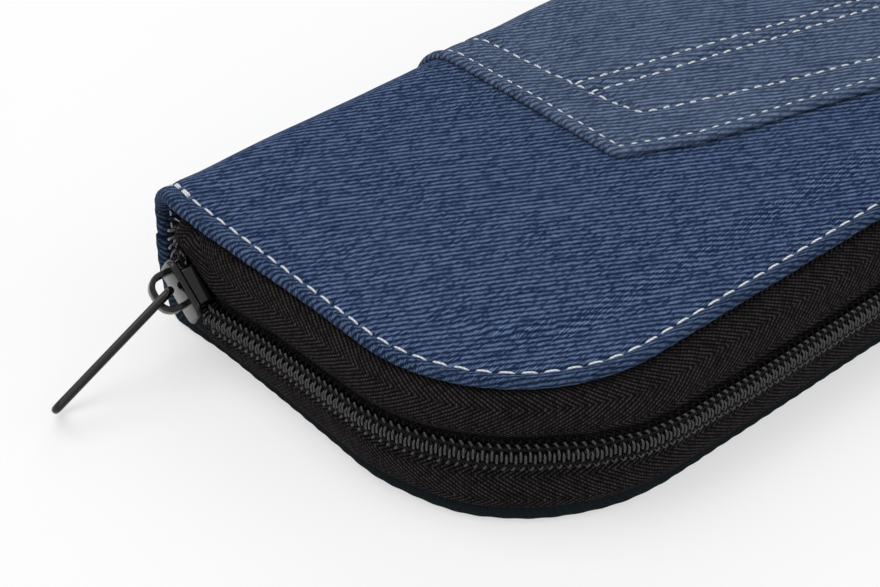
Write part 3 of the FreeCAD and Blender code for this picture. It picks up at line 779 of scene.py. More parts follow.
class Rail:
    # a line with directions along it, sideways towards the front cover, and outwards

    def __init__(self, points):
        self.points = [p for p, _ in points]
        self.outs = [n for _, n in points]
        self.far = runLengths(self.points)
        self.last = 0

    def at(self, s):
        s = min(self.far[-1] - 1e-6, max(0.0, s))
        if self.far[self.last] > s:
            self.last = 0
        while self.far[self.last + 1] < s:
            self.last += 1
        i = self.last
        t = (s - self.far[i]) / (self.far[i + 1] - self.far[i])
        place = self.points[i].lerp(self.points[i + 1], t)
        ahead = self.points[min(i + 3, len(self.points) - 1)] - self.points[max(i - 3, 0)]
        ahead.normalize()
        out = self.outs[i].lerp(self.outs[i + 1], t).normalized()
        return place, ahead, ahead.cross(out).normalized(), out


# one turn of the coil: (place along, sideways from the heads to the root, out of the tape)
coilTurn = [
    (0.00, -0.62, 0.58), (0.00, -0.40, 0.93), (0.00, 0.70, 0.93), (0.01, 1.00, 0.72),
    (0.04, 1.30, 0.38), (0.10, 1.75, 0.30), (0.20, 2.25, 0.46), (0.38, 2.55, 0.44),
    (0.60, 2.35, 0.10), (0.82, 1.40, -0.55), (0.98, -0.45, -0.55),
]
coilWire = {"sides": 6, "bar": (0.25, 0.20), "round": 0.19, "root": 0.29}
# the thread that holds each turn to the tape, and the cord that lies inside the turns
coilSewing = [(0.0, 3.25, -0.75), (0.0, 3.08, -0.15), (0.02, 2.75, 0.10), (0.04, 2.30, -0.02)]
coilThread = (0.17, 0.15)
coilCord = {"across": 1.60, "out": 0.40, "wide": 0.44, "thick": 0.20, "ripple": 0.06}


def makeCoil(name, part, side, phase, body):
    rail = Rail(coilLine(part))
    turns = int((rail.far[-1] - 1.5) / line["pitch"] - phase)

    def place(turn, across, out):
        spot, ahead, up, outward = rail.at((turn + phase) * line["pitch"])
        return spot + up * (side * across) + outward * out, ahead, up, outward

    path = []
    for i in range(turns):
        for along, across, out in coilTurn:
            path.append((*place(i + along, across, out)[:2], along, out))
    points = [p[0] for p in path]
    frames, sizes = [], []
    for i, (_, ahead, along, out) in enumerate(path):
        run = points[min(i + 1, len(points) - 1)] - points[max(i - 1, 0)]
        first = (ahead - run * ahead.dot(run) / run.length_squared).normalized()
        frames.append((first, run.cross(first).normalized()))
        thick = coilWire["root"] if 0.1 < along < 0.6 else coilWire["round"]
        sizes.append(coilWire["bar"] if out > 0.5 else (thick, thick))
    wire = [], [], []
    addTube(wire, points, frames, sizes, coilWire["sides"])
    sewn = [], [], []
    for i in range(turns):
        rings = [place(i + along, across, out)[:2] for along, across, out in coilSewing]
        run = rings[-1][0] - rings[0][0]
        frames = [(ahead, run.cross(ahead).normalized()) for _, ahead in rings]
        addTube(sewn, [p for p, _ in rings], frames, [coilThread] * len(rings), 5)
    points, frames, sizes = [], [], []
    for i in range(2 * turns):
        ripple = coilCord["ripple"] * (-1) ** i
        spot, _, up, outward = place(i / 2, coilCord["across"], coilCord["out"] + ripple)
        points.append(spot)
        frames.append((up, outward))
        sizes.append((coilCord["wide"] + ripple, coilCord["thick"]))
    addTube(sewn, points, frames, sizes, 8)
    replaced = [name + end for end in ("_coil", "_coil_run", "_coil_end")]
    for end, skin, material, slot, nodes in (
        ("_chain", wire, coilNylon, "coil_nylon", replaced),
        ("_chain_sewing", sewn, blackThread, "zipper_tape", ()),
    ):
        piece = addMesh(name + end, *skin)
        fixNormals(piece)
        dress(piece, material, body, nodes)
    print(name, "chain", turns, "turns")


makeCoil("upper", upperPart, 1, 0.0, "front_half")
makeCoil("lower", lowerPart, -1, 0.5, "back_half")


# each tape stands as a rolled wall beside the coil, from its woven edge up to the hem
tape = {
    "endY": 41.5,
    "endBend": 6.0,
    "top": 24.3,
    "flangeInset": 7.6,
    "width": 17.5,
    "thickness": 0.5,
    "step": 1.0,
    "tuck": 5.0,
    "tuckFrom": (33.0, 40.0),
}
# (share of the wall's height, distance in from the zipper line)
tapeWall = [
    (0.0, 1.55), (0.06, 1.60), (0.13, 1.55), (0.19, 1.20), (0.25, 0.65), (0.33, 0.25),
    (0.45, 0.0), (0.58, -0.05), (0.70, 0.08), (0.81, 0.40), (0.90, 0.88), (0.96, 1.50),
    (0.99, 2.2), (1.0, 3.0),
]
# where each tape's woven edge lies on the near end, as (y, z)
upperEdge = [
    (-10.5, 14.30), (12.0, 13.2), (22.0, 12.9), (24.6, 13.1), (27.0, 14.9), (29.3, 16.8),
    (30.6, 18.3), (31.6, 19.2), (41.5, 19.3),
]
lowerEdge = [
    (-10.5, 12.70), (12.0, 11.4), (22.0, 10.6), (26.2, 10.4), (28.6, 12.2), (31.5, 14.6),
    (34.0, 16.9), (35.6, 18.9), (36.2, 19.2), (41.5, 19.2),
]


def tapeLine():
    # plan of the zipper line from end to end, with outward directions
    bend = tape["endBend"]
    straight = tape["endY"] - bend

    def end(side):
        half = []
        for along, across in quarter(8, 1):
            centre = Vector((side * (lineX - bend), straight, 0))
            out = Vector((side * across, along, 0))
            half.append((centre + out * bend, out))
        y = straight - tape["step"] / 2
        while y > cornerY:
            half.append((Vector((side * lineX, y, 0)), Vector((side, 0, 0))))
            y -= tape["step"] if y < 20 else tape["step"] / 2
        for across, along in quarter(int(line["radius"] * math.pi / 2 / tape["step"])):
            out = Vector((side * across, -along, 0))
            half.append((Vector((side * cornerX, cornerY, 0)) + out * line["radius"], out))
        return half

    count = int(2 * cornerX / tape["step"])
    front = [-cornerX + 2 * cornerX * i / count for i in range(count)]
    front = [(Vector((x, lineY, 0)), Vector((0, -1, 0))) for x in front]
    return end(-1) + front + end(1)[::-1]


def makeTape(name, side, edge, replaced, body):
    plan = tapeLine()
    reach = [(0, tapeWall[-1][1]), (3, tape["flangeInset"])]
    wall = tapeWall + [(1.0, between(reach, j)) for j in (1, 2, 3)]
    rows = len(wall)
    points, uvs = [], []
    along = 0.0
    for i, (place, out) in enumerate(plan):
        if i:
            along += (place - plan[i - 1][0]).length
        if place.x < 0 and place.y > cornerY:
            low = between(edge, place.y)
        else:
            low = midZ + side * 0.8 * (1 - smoothstep(35, 37, place.y))
        low = low if side > 0 else topZ - low
        wave = uneven(along * 0.06, side * 3.0, 0.5)
        fold = uneven(along * 0.022, side * 7.0, 4.5)
        strip = []
        for j, (share, inset) in enumerate(wall):
            swell = math.sin(math.pi * share) if j < len(tapeWall) else 0
            z = low + (tape["top"] - low) * share + 0.15 * wave * swell
            inset += swell * (0.20 * wave + 0.12 * fold)
            seam = seamShift(side, place.x, flatV(place.y)) * (j < len(tapeWall) + 2)
            inset += seam * share ** 2 - chainShift(place.x, place.y) * (1 - share ** 2)
            point = place - out * inset
            if place.x < 0:  # beside the slider the tape is tucked in under the rolled edge
                point.x += tape["tuck"] * smoothstep(*tape["tuckFrom"], place.y)
            strip.append(Vector((point.x, point.y, z if side > 0 else topZ - z)))
        points += strip
        uvs += [(along, far) for far in runLengths(strip)]
    faces = []
    for i in range(len(plan) - 1):
        for j in range(rows - 1):
            a = i * rows + j
            face = [a, a + rows, a + rows + 1, a + 1]
            faces.append(face if side > 0 else face[::-1])
    piece = addMesh(name, points, faces, uvs)
    thicken(piece, tape["thickness"])
    dress(piece, blackTape, body, [replaced])
    print(name, round(along), "mm long")


makeTape("upper_zip_tape", 1, upperEdge, "upper_tape", "front_half")
makeTape("lower_zip_tape", -1, lowerEdge, "lower_tape", "back_half")


# the slider, drawn in its own place: x out of the tape, y towards its shoulder
sliderParts = {
    "lean": -9.0,  # degrees about its own length, under the puller's weight
    "length": 11.0,
    "plate": 1.3,
    "plates": {"front_plate": (-2.15, 8.0), "back_plate": (2.75, 7.2)},  # place and width
    "plateEdges": (1.9, 0.35),  # how round its corners and its edges are
    "flange": (2.2, 6.6, 0.8),
    "flangeEdges": (0.25, 0.12),
    "flangePlace": (-0.4, -0.6, 3.5),
    "post": (3.8, 3.4, 2.2),
    "postEdges": (0.5, 0.1),
    "postPlace": (0.3, 3.4, 0),
    "bail": {
        "thickness": 1.0, "width": 2.4, "span": 7.4, "height": 4.4, "bend": 2.3, "shift": 1.0,
        "edge": 0.28,
    },
}


def sliderMatrix():
    place = Vector((-lineX, line["sliderY"], line["sliderZ"])) * mm
    lean = Matrix.Rotation(math.radians(sliderParts["lean"]), 4, "Y")
    return Matrix.Translation(place) @ Matrix.Rotation(tilt, 4, "X") @ lean


def bevelEdges(piece, width, angle):
    bevel = piece.modifiers.new("edges", "BEVEL")
    bevel.width = width * mm
    bevel.segments = 3
    bevel.angle_limit = math.radians(angle)
    bpy.ops.object.modifier_apply(modifier=bevel.name)


def roundedPlate(name, size, edges, place):
    corner, edge = edges
    bpy.ops.object.select_all(action="DESELECT")
    bpy.ops.mesh.primitive_cube_add(size=1, location=(0, 0, 0))
    piece = bpy.context.object
    piece.name = name
    piece.scale = Vector(size) * mm
    bpy.ops.object.transform_apply(location=False, rotation=False, scale=True)
    bpy.ops.object.mode_set(mode="EDIT")
    bpy.ops.mesh.select_mode(type="EDGE")
    bpy.ops.mesh.select_all(action="DESELECT")
    bpy.ops.object.mode_set(mode="OBJECT")
    for rim in piece.data.edges:  # the four edges through the plate
        a, b = (piece.data.vertices[i].co for i in rim.vertices)
        rim.select = abs(a.y - b.y) < 1e-6 and abs(a.z - b.z) < 1e-6
    bpy.ops.object.mode_set(mode="EDIT")
    bpy.ops.mesh.bevel(offset=corner * mm, segments=6, affect="EDGES")
    bpy.ops.object.mode_set(mode="OBJECT")
    bevelEdges(piece, edge, 40)
    piece.data.transform(Matrix.Translation(Vector(place) * mm))
    return piece


def joinPieces(name, pieces):
    select(pieces[0])
    for piece in pieces[1:]:
        piece.select_set(True)
    bpy.ops.object.join()
    piece = bpy.context.object
    piece.name = name
    piece.data.name = name
    bpy.ops.object.shade_smooth_by_angle(angle=math.radians(35))
    return piece


def makeSlider():
    parts = sliderParts
    pieces = []
    for name, (x, width) in parts["plates"].items():
        size = (parts["plate"], parts["length"], width)
        pieces.append(roundedPlate(name, size, parts["plateEdges"], (x, 0, 0)))
    x, y, z = parts["flangePlace"]
    for side in (-1, 1):
        place = (x, y, side * z)
        pieces.append(roundedPlate("flange", parts["flange"], parts["flangeEdges"], place))
    pieces.append(roundedPlate("post", parts["post"], parts["postEdges"], parts["postPlace"]))
    piece = joinPieces("slider_shell", pieces)
    piece.data.transform(sliderMatrix())
    dress(piece, blackMetal, "slider", ["slider_body"])


def sweepSection(name, make, moves, closed=False):
    # a section carried along straight runs and bends
    bpy.ops.object.select_all(action="DESELECT")
    make()
    piece = bpy.context.object
    piece.name = name
    bpy.ops.object.transform_apply(location=True, rotation=True, scale=True)
    bpy.ops.object.mode_set(mode="EDIT")
    bpy.ops.mesh.select_all(action="SELECT")
    for amount, *bend in moves:  # a run, or an angle with its centre and axis
        if bend:
            bpy.ops.mesh.spin(
                steps=8, dupli=False, angle=amount, center=bend[0], axis=bend[1],
                use_auto_merge=False, use_normal_flip=False,
            )
        else:
            bpy.ops.mesh.extrude_region_move(TRANSFORM_OT_translate={"value": amount})
    bpy.ops.mesh.select_all(action="SELECT")
    if closed:
        bpy.ops.mesh.remove_doubles(threshold=0.00002)
    bpy.ops.mesh.normals_make_consistent(inside=False)
    bpy.ops.object.mode_set(mode="OBJECT")
    return piece


def makeBail():
    bail = sliderParts["bail"]
    outer = -(1.5 + sliderParts["plate"])
    thick, wide, bend = bail["thickness"], bail["width"], bail["bend"]
    high = bail["shift"] + bail["span"] / 2 - thick / 2
    low = bail["shift"] - bail["span"] / 2 + thick / 2
    top = outer - bail["height"] + thick / 2

    def section():
        bpy.ops.mesh.primitive_plane_add(
            size=1, location=((outer + 0.4) * mm, high * mm, 0), rotation=(0, math.pi / 2, 0)
        )
        bpy.context.object.scale = (wide * mm, thick * mm, 1)

    rise = top + bend - (outer + 0.4)
    across = low + bend - (high - bend)
    moves = [
        ((rise * mm, 0, 0),),
        (-math.pi / 2, ((top + bend) * mm, (high - bend) * mm, 0), (0, 0, 1)),
        ((0, across * mm, 0),),
        (-math.pi / 2, ((top + bend) * mm, (low + bend) * mm, 0), (0, 0, 1)),
        ((-rise * mm, 0, 0),),
    ]
    piece = sweepSection("slider_crown", section, moves)
    bevelEdges(piece, bail["edge"], 50)
    bpy.ops.object.shade_smooth_by_angle(angle=math.radians(35))
    piece.data.transform(sliderMatrix())
    dress(piece, blackMetal, "slider", ["slider_bail"])


puller = {
    "wire": 1.5,
    "length": 27.9,
    "width": 9.0,
    "neck": 7.0,
    "bend": 1.5,
    "play": 0.65,
    "shift": 1.35,
    "turn": 177.65,
    "lift": 1.96,
}


def makePuller():
    wire = puller["wire"]
    across = Vector((0, -math.sin(tilt), math.cos(tilt)))
    ahead = Vector((0, math.cos(tilt), math.sin(tilt)))
    plateX = -lineX - 1.5 - sliderParts["plate"]
    pivot = Vector((plateX - puller["play"] - wire / 2, line["sliderY"], line["sliderZ"]))
    pivot += ahead * sliderParts["bail"]["shift"]
    turn = math.radians(puller["turn"])
    droop = math.asin((pivot.z - puller["lift"]) / puller["length"])
    along = Vector((math.cos(turn), math.sin(turn), -math.tan(droop))).normalized()
    wide = (across - along * across.dot(along)).normalized()
    centre = pivot + wide * puller["shift"]
    neck = puller["neck"] / 2 - wire / 2
    side = puller["width"] / 2 - wire / 2
    end = puller["length"] - wire / 2
    places = [(0, -neck), (0, neck), (end, side), (end, -side)]
    corners = [centre + along * a + wide * b for a, b in places]
    radius = puller["bend"]
    bends = []
    for i, corner in enumerate(corners):
        back = (corners[i - 1] - corner).normalized()
        ahead = (corners[(i + 1) % 4] - corner).normalized()
        half = (math.pi - back.angle(ahead)) / 2
        first = corner + back * (radius * math.tan(half))
        last = corner + ahead * (radius * math.tan(half))
        middle = corner + (back + ahead).normalized() * (radius / math.cos(half))
        bends.append((first, last, middle, 2 * half, ahead.cross(back).normalized(), -back))

    def section():
        first, _, _, _, _, forward = bends[0]
        turned = forward.to_track_quat("Z", "Y").to_euler()
        bpy.ops.mesh.primitive_circle_add(
            vertices=16, radius=wire / 2 * mm, fill_type="NOTHING", location=first * mm,
            rotation=turned,
        )

    moves = []
    for i, (first, last, middle, angle, axle, _) in enumerate(bends):
        moves.append((-angle, middle * mm, axle))
        moves.append(((bends[(i + 1) % 4][0] - last) * mm,))
    piece = sweepSection("wire_puller", section, moves, closed=True)
    bpy.ops.object.shade_smooth()
    dress(piece, blackMetal, "puller", ["puller"])


makeSlider()
makeBail()
makePuller()
print("slider")


# flat outlines, filled with triangles and wrapped round the spine
def roundCorners(corners, steps=8):
    # corners are (u, v, radius): each is cut by a smooth bend of about that radius
    path = []
    count = len(corners)
    for i, (u, v, radius) in enumerate(corners):
        corner = Vector((u, v))
        if radius == 0:
            path.append((u, v))
            continue
        back = (Vector(corners[i - 1][:2]) - corner).normalized()
        ahead = (Vector(corners[(i + 1) % count][:2]) - corner).normalized()
        reach = radius / math.tan(back.angle(ahead) / 2)
        first, last = corner + back * reach, corner + ahead * reach
        for k in range(steps + 1):
            t = k / steps
            place = first.lerp(corner, t).lerp(corner.lerp(last, t), t)
            path.append((place.x, place.y))
    return path


def divide(path, step, closed=True):  # the same line in short even pieces
    points = []
    ends = path + [path[0]] if closed else path
    for a, b in zip(ends, ends[1:]):
        count = max(1, round(math.dist(a, b) / step))
        for i in range(count):
            t = i / count
            points.append((a[0] + (b[0] - a[0]) * t, a[1] + (b[1] - a[1]) * t))
    if not closed:
        points.append(path[-1])
    return points


def inside(path, u, v):
    odd = False
    for (u1, v1), (u2, v2) in zip(path, path[1:] + path[:1]):
        if (v1 > v) != (v2 > v) and u < (u2 - u1) * (v - v1) / (v2 - v1) + u1:
            odd = not odd
    return odd


def offLine(path, u, v):  # how far a point lies from a line
    best = 1e9
    for (u1, v1), (u2, v2) in zip(path, path[1:]):
        du, dv = u2 - u1, v2 - v1
        t = ((u - u1) * du + (v - v1) * dv) / (du * du + dv * dv)
        t = min(1, max(0, t))
        best = min(best, math.hypot(u - u1 - t * du, v - v1 - t * dv))
    return best


def normalsOf(path):  # inward directions at the points of a closed line
    normals = []
    for i in range(len(path)):
        a, b = path[i - 1], path[(i + 1) % len(path)]
        size = math.dist(a, b)
        normals.append(((a[1] - b[1]) / size, (b[0] - a[0]) / size))
    return normals


def fillOutline(name, path, step, height, side, rim=((0.0, None),), extra=(), fine=1.2):
    # rim rows are (inset, height) pairs in from the outline; the rest follows height(u, v)
    count = len(path)
    rays = list(zip(path, normalsOf(path)))
    lengths = runLengths(rim)
    inset = rim[-1][0]
    points, uvs = [], []
    for (reach, level), length in zip(rim, lengths):
        flat = length - lengths[-1] + inset
        for (u, v), (nu, nv) in rays:
            placeU, placeV = u + nu * reach, max(0.0, v + nv * reach)
            ground = height(placeU, placeV) if level is None else level
            points.append(wrapPoint(placeU, placeV, ground, side))
            uvs.append((u + nu * flat, (v + nv * flat) * side))
    faces = gridFaces(len(rim), count, closed=True, flip=side > 0)
    loop = [(u + nu * inset, max(0.0, v + nv * inset)) for (u, v), (nu, nv) in rays]
    fill = [Vector(p) for p in loop] + [Vector(p) for p in extra]
    lowU, highU = min(p[0] for p in loop), max(p[0] for p in loop)
    v, highV = min(p[1] for p in loop), max(p[1] for p in loop)
    ring = loop[:: max(1, count // 90)]
    ring.append(ring[0])
    while v < highV:
        v += fine if v < flatFrom + 2 else step
        u = lowU
        while u < highU:
            u += step
            clear = offLine(ring, u, v) >= fine * 0.7
            if inside(loop, u, v) and clear and all(
                math.dist((u, v), p) > 0.45 * step for p in extra
            ):
                fill.append(Vector((u, v)))
    fillFlat(points, uvs, faces, fill, count, len(points) - count, height, side)
    return addMesh(name, points, faces, uvs)


def flatArea(path):
    pairs = zip(path, path[1:] + path[:1])
    return abs(sum(a[0] * b[1] - b[0] * a[1] for a, b in pairs)) / 2 * mm * mm


def lineStitches(path, height, side, stitch, closed=False, turned=1):
    # stitches laid along a flat line
    line = divide(path, 0.35, closed)
    if closed:
        line.append(line[0])
    far = runLengths(line)
    count = round(far[-1] / stitch)
    places = []
    for i in range(count):
        low, high = i * far[-1] / count, (i + 1) * far[-1] / count
        chosen = [p for p, s in zip(line, far) if low <= s <= high]
        if len(chosen) < 4:
            continue
        points = [wrapPoint(u, v, height(u, v), side) for u, v in chosen]
        u, v = chosen[len(chosen) // 2]
        outward = wrapPoint(u, v, 1, side) - wrapPoint(u, v, 0, side)
        places.append((points, outward * turned))
    return places


# the faded denim patch: (u, v, corner radius) on the flat cloth, where v runs from the spine
patch = {
    "left": [(-33.4, 60.9, 2.6), (-33.5, 36.7, 0), (-34.2, 13.9, 0), (-34.6, 5.0, 4.0)],
    "front": [(18.0, 76.9, 0), (2.0, 72.8, 0), (-18.4, 67.8, 0)],
    "edgeGap": 5.5,
    "spineV": 5.0,
    "secondRow": [(-25.0, 5.6), (-24.5, 13.7), (-21.8, 45.0), (-20.4, 52.6), (-19.4, 54.2),
                  (-17.4, 55.0), (-3.7, 60.1), (9.9, 64.6), (25.9, 69.8), (85.5, 94.2)],
    "plainRows": (24.9, 28.9),
    "plainSpan": (-22.4, 85.0),
    "stitchInset": 2.75,
    "loft": 0.62,
    "thickness": 0.7,
    "stitch": 2.6,
    "stitchGap": 0.7,
    "turnedIn": 6,
}
patchRim = [
    (1.6, 0.10), (0.6, 0.06), (0.10, 0.34), (0.0, 0.78), (0.24, 1.24), (0.8, 1.52), (1.5, 1.54),
    (2.15, 1.30), (2.75, 0.94),
]


def patchOutline():
    gap = patch["edgeGap"]
    radius = cloth["cornerRadius"] - gap
    corners = [(endX - gap - cloth["endSetBack"], patch["spineV"], 4.5)]
    corners += [(endX - gap - setBack(v), v, 0) for v in (10.0, 14.0, 18.0, 22.0)]
    (u1, v1, _), (u2, v2, _) = patch["front"][:2]
    slope = (v1 - v2) / (u1 - u2)
    for across, along in quarter(18):  # round the corner, up to the front edge's line
        u, v = cornerU + radius * across, cornerV + radius * along
        if v >= v1 + slope * (u - u1):
            break
        corners.append((u, v, 0))
    corners += patch["front"] + patch["left"]
    return divide(roundCorners(corners), 1.1)


def patchHeight(u, v):
    soft = uneven(u * 0.07, v * 0.08, 21.0) * 0.22
    soft += uneven(u * 0.21, v * 0.2, 5.0) * 0.07
    height = patch["loft"] + soft + panelHeight(u, v, 1)
    along = u * 0.9 + v * 0.4
    for row in patchRows:
        far = offLine(row, u, v)
        if far < 3:
            wave = 0.5 + 0.5 * math.cos(2 * math.pi * along / 3.5)
            height += 0.14 * bell(far - 1.8, 1.0) - (0.22 + 0.16 * wave) * bell(far, 0.8)
    edge = offLine(patchEdge, u, v)
    return height + 0.30 * bell(edge - 4.2, 1.8) + 0.18 * bell(edge, 8)


patchEdge = patchOutline()
(nearU, nearV, _), (leftU, leftV, _) = patch["front"][0], patch["front"][2]
frontSlope = (nearV - leftV) / (nearU - leftU)
patchRows = [patch["secondRow"]]
for offset in patch["plainRows"]:  # plain rows beside the front edge, in from the left row
    (u1, u2), v = patch["plainSpan"], leftV - offset
    patchRows.append([(u1, v), (u2, v + (u2 - u1) * frontSlope)])


def makePatch():
    extra = []
    for row in patchRows:
        line = divide(row, 1.1, closed=False)
        for (u1, v1), (u2, v2) in zip(line, line[1:]):
            du, dv = u2 - u1, v2 - v1
            size = math.hypot(du, dv)
            for off in (-1.7, -0.75, 0.0, 0.75, 1.7):
                extra.append((u1 - dv / size * off, v1 + du / size * off))
    ground = cloth["thickness"] * 0.1
    rim = [(inset, level + ground) for inset, level in patchRim]
    piece = fillOutline("patch_denim", patchEdge, 3.0, patchHeight, 1, rim, extra)
    thicken(piece, patch["thickness"])
    dress(piece, patchDenim, rideFront, ["pocket_patch"])
    long, wide = (max(axis) - min(axis) + patch["turnedIn"] for axis in zip(*patchEdge))
    long * mm
    wide * mm
    flatArea(patchEdge) * 1.1
    inset = patch["stitchInset"]
    rays = zip(patchEdge, normalsOf(patchEdge))
    edge = [(u + nu * inset, v + nv * inset) for (u, v), (nu, nv) in rays]
    rimLevel = patchRim[-1][1] + 0.02
    sewn = lineStitches(edge, lambda u, v: rimLevel, 1, patch["stitch"], closed=True)
    for row in patchRows:
        sewn += lineStitches(row, lambda u, v: patchHeight(u, v) + 0.02, 1, patch["stitch"])
    piece = stitchRow("patch_topstitch", sewn, whiteThread, gap=patch["stitchGap"])
    rideFront(piece)
    print("patch", len(sewn), "stitches")


makePatch()


# the lining, the foam under it and the binding that holds their edges
inner = {
    "liningInset": 4.4,
    "liningLevel": -4.17,
    "liningThickness": 0.5,
    "foamInset": 5.9,
    "foamDepth": 1.1,
    "foamRim": [(0.0, -1.9), (0.3, -1.35), (1.0, -1.1)],
    "foamThickness": 2.8,
    "splitV": 21.5,
    "spineV": 14.0,
}


def innerOutline(inset, low, step=2.5):
    # the cover's own outline drawn in, closed by a straight line along v = low
    radius = cloth["cornerRadius"] - inset
    side = [(endX - inset - cloth["endSetBack"] * (low < 15), low)]
    if low < 15:
        side += [(endX - inset - setBack(v), v) for v in (6.0, 10.0, 14.0, 18.0, 22.0)]
    side += [(cornerU + radius * a, cornerV + radius * b) for a, b in quarter(18, 1)]
    return divide(side + [(-u, v) for u, v in reversed(side)], step)


def makeInside():
    for name, side, ride, replaced in (
        ("front", 1, rideFront, ["front_lining", "spine_lining"]),
        ("back", -1, rideBack, ["back_lining"]),
    ):
        def liningHeight(u, v):
            soft = uneven(u * 0.05, v * 0.06, 40.0 + side) * 0.25
            inset = offLine(edge + edge[:1], u, v)
            return inner["liningLevel"] + soft * smoothstep(0, 12, inset)

        edge = innerOutline(inner["liningInset"], 0.0)
        piece = fillOutline(name + "_lining_cloth", edge, 4.0, liningHeight, side)
        thicken(piece, inner["liningThickness"])
        dress(piece, liningCloth, ride, replaced)
        inset = inner["liningInset"]
        (clothEnd - inset) * mm
        flatArea(edge)
        pad = fillOutline(
            name + "_pad", innerOutline(inner["foamInset"], inner["splitV"]), 6.0,
            lambda u, v: -inner["foamDepth"], side, inner["foamRim"],
        )
        thicken(pad, inner["foamThickness"])
        dress(pad, foamRubber, name + "_half", [name + "_foam"])
        print(name, "lining and pad")


makeInside()


def makeSpinePad():
    # one strip of foam that bends round the spine with the cloth
    columns = int(2 * (endX - inner["foamInset"]) / 4)
    span = inner["spineV"]
    rows = 29
    points, uvs = [], []
    for i in range(rows):
        v = -span + 2 * span * i / (rows - 1)
        for j in range(columns):
            u = (endX - inner["foamInset"]) * (2 * j / (columns - 1) - 1)
            u *= 1 - (cloth["endSetBack"] + 1.2) / endX
            edge = min(1.0, (span - abs(v)) / 1.2) ** 0.5
            level = -inner["foamDepth"] - 0.5 * (1 - edge)
            points.append(wrapPoint(u, abs(v), level, 1 if v > 0 else -1))
            uvs.append((u, v))
    pad = addMesh("spine_pad", points, gridFaces(rows, columns, flip=True), uvs)
    thicken(pad, inner["foamThickness"])
    fixNormals(pad)
    dress(pad, foamRubber, "spine", ["spine_foam"])


# the folded tape that binds the edges of the linings: (in from the outline, height)
binding = {
    "fold": [(5.8, -3.05), (3.9, -3.05), (3.55, -3.5), (3.5, -4.4), (3.85, -4.95), (5.8, -5.0)],
    "thickness": 0.4,
    "cut": 12.0,  # half of it is turned under
    "stitch": 3.0,
    "stitchInset": 5.1,
}


def edgePlan(low, step=1.5):
    # the cover's outline from one end of the spine to the other, with its inward directions
    radius = cloth["cornerRadius"]
    half = []
    v = low
    while v < cornerV:
        half.append(((endX, v), (-1.0, 0.0)))
        v += step
    for a, b in quarter(36, 1):
        half.append(((cornerU + radius * a, cornerV + radius * b), (-a, -b)))
    u = cornerU - step
    while u > 0:
        half.append(((u, clothEnd), (0.0, -1.0)))
        u -= step
    return half + [((-u, v), (-nu, nv)) for (u, v), (nu, nv) in reversed(half)]


def makeBinding(name, side):
    node = name + "_binding"
    plan = edgePlan(flatV(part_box(node)[1].y / mm))
    points, uvs = [], []
    lengths = runLengths(binding["fold"])
    along = runLengths([place for place, _ in plan])
    for (inset, height), across in zip(binding["fold"], lengths):
        for ((u, v), (nu, nv)), far in zip(plan, along):
            soft = uneven(far * 0.08, across * 0.5, side * 9.0) * 0.12
            place = (u + nu * (inset + soft), v + nv * (inset + soft))
            points.append(wrapPoint(*place, height, side))
            uvs.append((far, across))
    piece = addMesh(name + "_edge_binding", points, gridFaces(len(lengths), len(plan)), uvs)
    thicken(piece, binding["thickness"], 0)
    fixNormals(piece)
    dress(piece, bindingCloth, name + "_half", [node])
    inset = binding["stitchInset"]
    row = [(u + nu * inset, v + nv * inset) for (u, v), (nu, nv) in plan]
    sewn = lineStitches(
        row, lambda u, v: binding["fold"][-1][1] - 0.22, side, binding["stitch"], turned=-1
    )
    piece = stitchRow(name + "_binding_thread", sewn, blackThread, width=0.14)
    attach(piece, name + "_half")


def clothGrid(name, lowU, highU, ys, height, side, thickness, step=2.0):
    # a rectangle of cloth that faces the inside of the case
    columns = int((highU - lowU) / step) + 1
    points, uvs = [], []
    for y, level in ys:
        for j in range(columns):
            u = lowU + (highU - lowU) * j / (columns - 1)
            points.append(wrapPoint(u, flatV(y), level + height(u, y), side))
            uvs.append((u, flatV(y) * side - level))
    piece = addMesh(name, points, gridFaces(len(ys), columns, flip=side > 0), uvs)
    thicken(piece, thickness)
    return piece


def steps(low, high, count):
    return [low + (high - low) * i / (count - 1) for i in range(count)]


# the elastic strap that holds the calculator in the back half
strap = {"top": -5.8, "thickness": 1.1, "bow": 0.5, "sewnEnd": 2.2, "rowGap": 3.0, "stitch": 2.6}


def makeStrap():
    low, high = (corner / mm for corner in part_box("holding_strap"))

    def height(u, y):
        middle = math.sin(math.pi * (y - low.y) / (high.y - low.y))
        curl = 0.10 * (abs(u) / high.x) ** 6
        return -(strap["bow"] * middle + curl)

    rows = [(y, strap["top"]) for y in steps(low.y, high.y, 40)]
    piece = clothGrid("elastic_strap", low.x, high.x, rows, height, -1, strap["thickness"])
    dress(piece, elasticCloth, "back_half", ["holding_strap"])
    sewn = []
    for y in (low.y + strap["sewnEnd"], high.y - strap["sewnEnd"]):
        for gap in (0, strap["rowGap"]):
            v = flatV(y + (gap if y < 0 else -gap))
            row = [(low.x + 1.2, v), (high.x - 1.2, v)]
            sewn += lineStitches(
                row, lambda u, v: strap["top"] + height(u, low.y) - 0.08, -1, strap["stitch"],
                turned=-1,
            )
    piece = stitchRow("strap_thread", sewn, blackThread)
    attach(piece, "back_half")


# the flat pocket on the front half's lining, with a folded band along its mouth
pocket = {
    "level": -5.4,
    "thickness": 0.5,
    "bulge": 1.0,
    "band": [(2.2, -4.75), (8.2, -4.75), (8.65, -4.95), (8.8, -5.35), (8.65, -5.75), (8.2, -5.95),
             (2.2, -5.95)],
    "bandThickness": 0.35,
    "bandCut": 13.6,
    "stitch": 3.0,
    "stitchInset": 1.8,
}


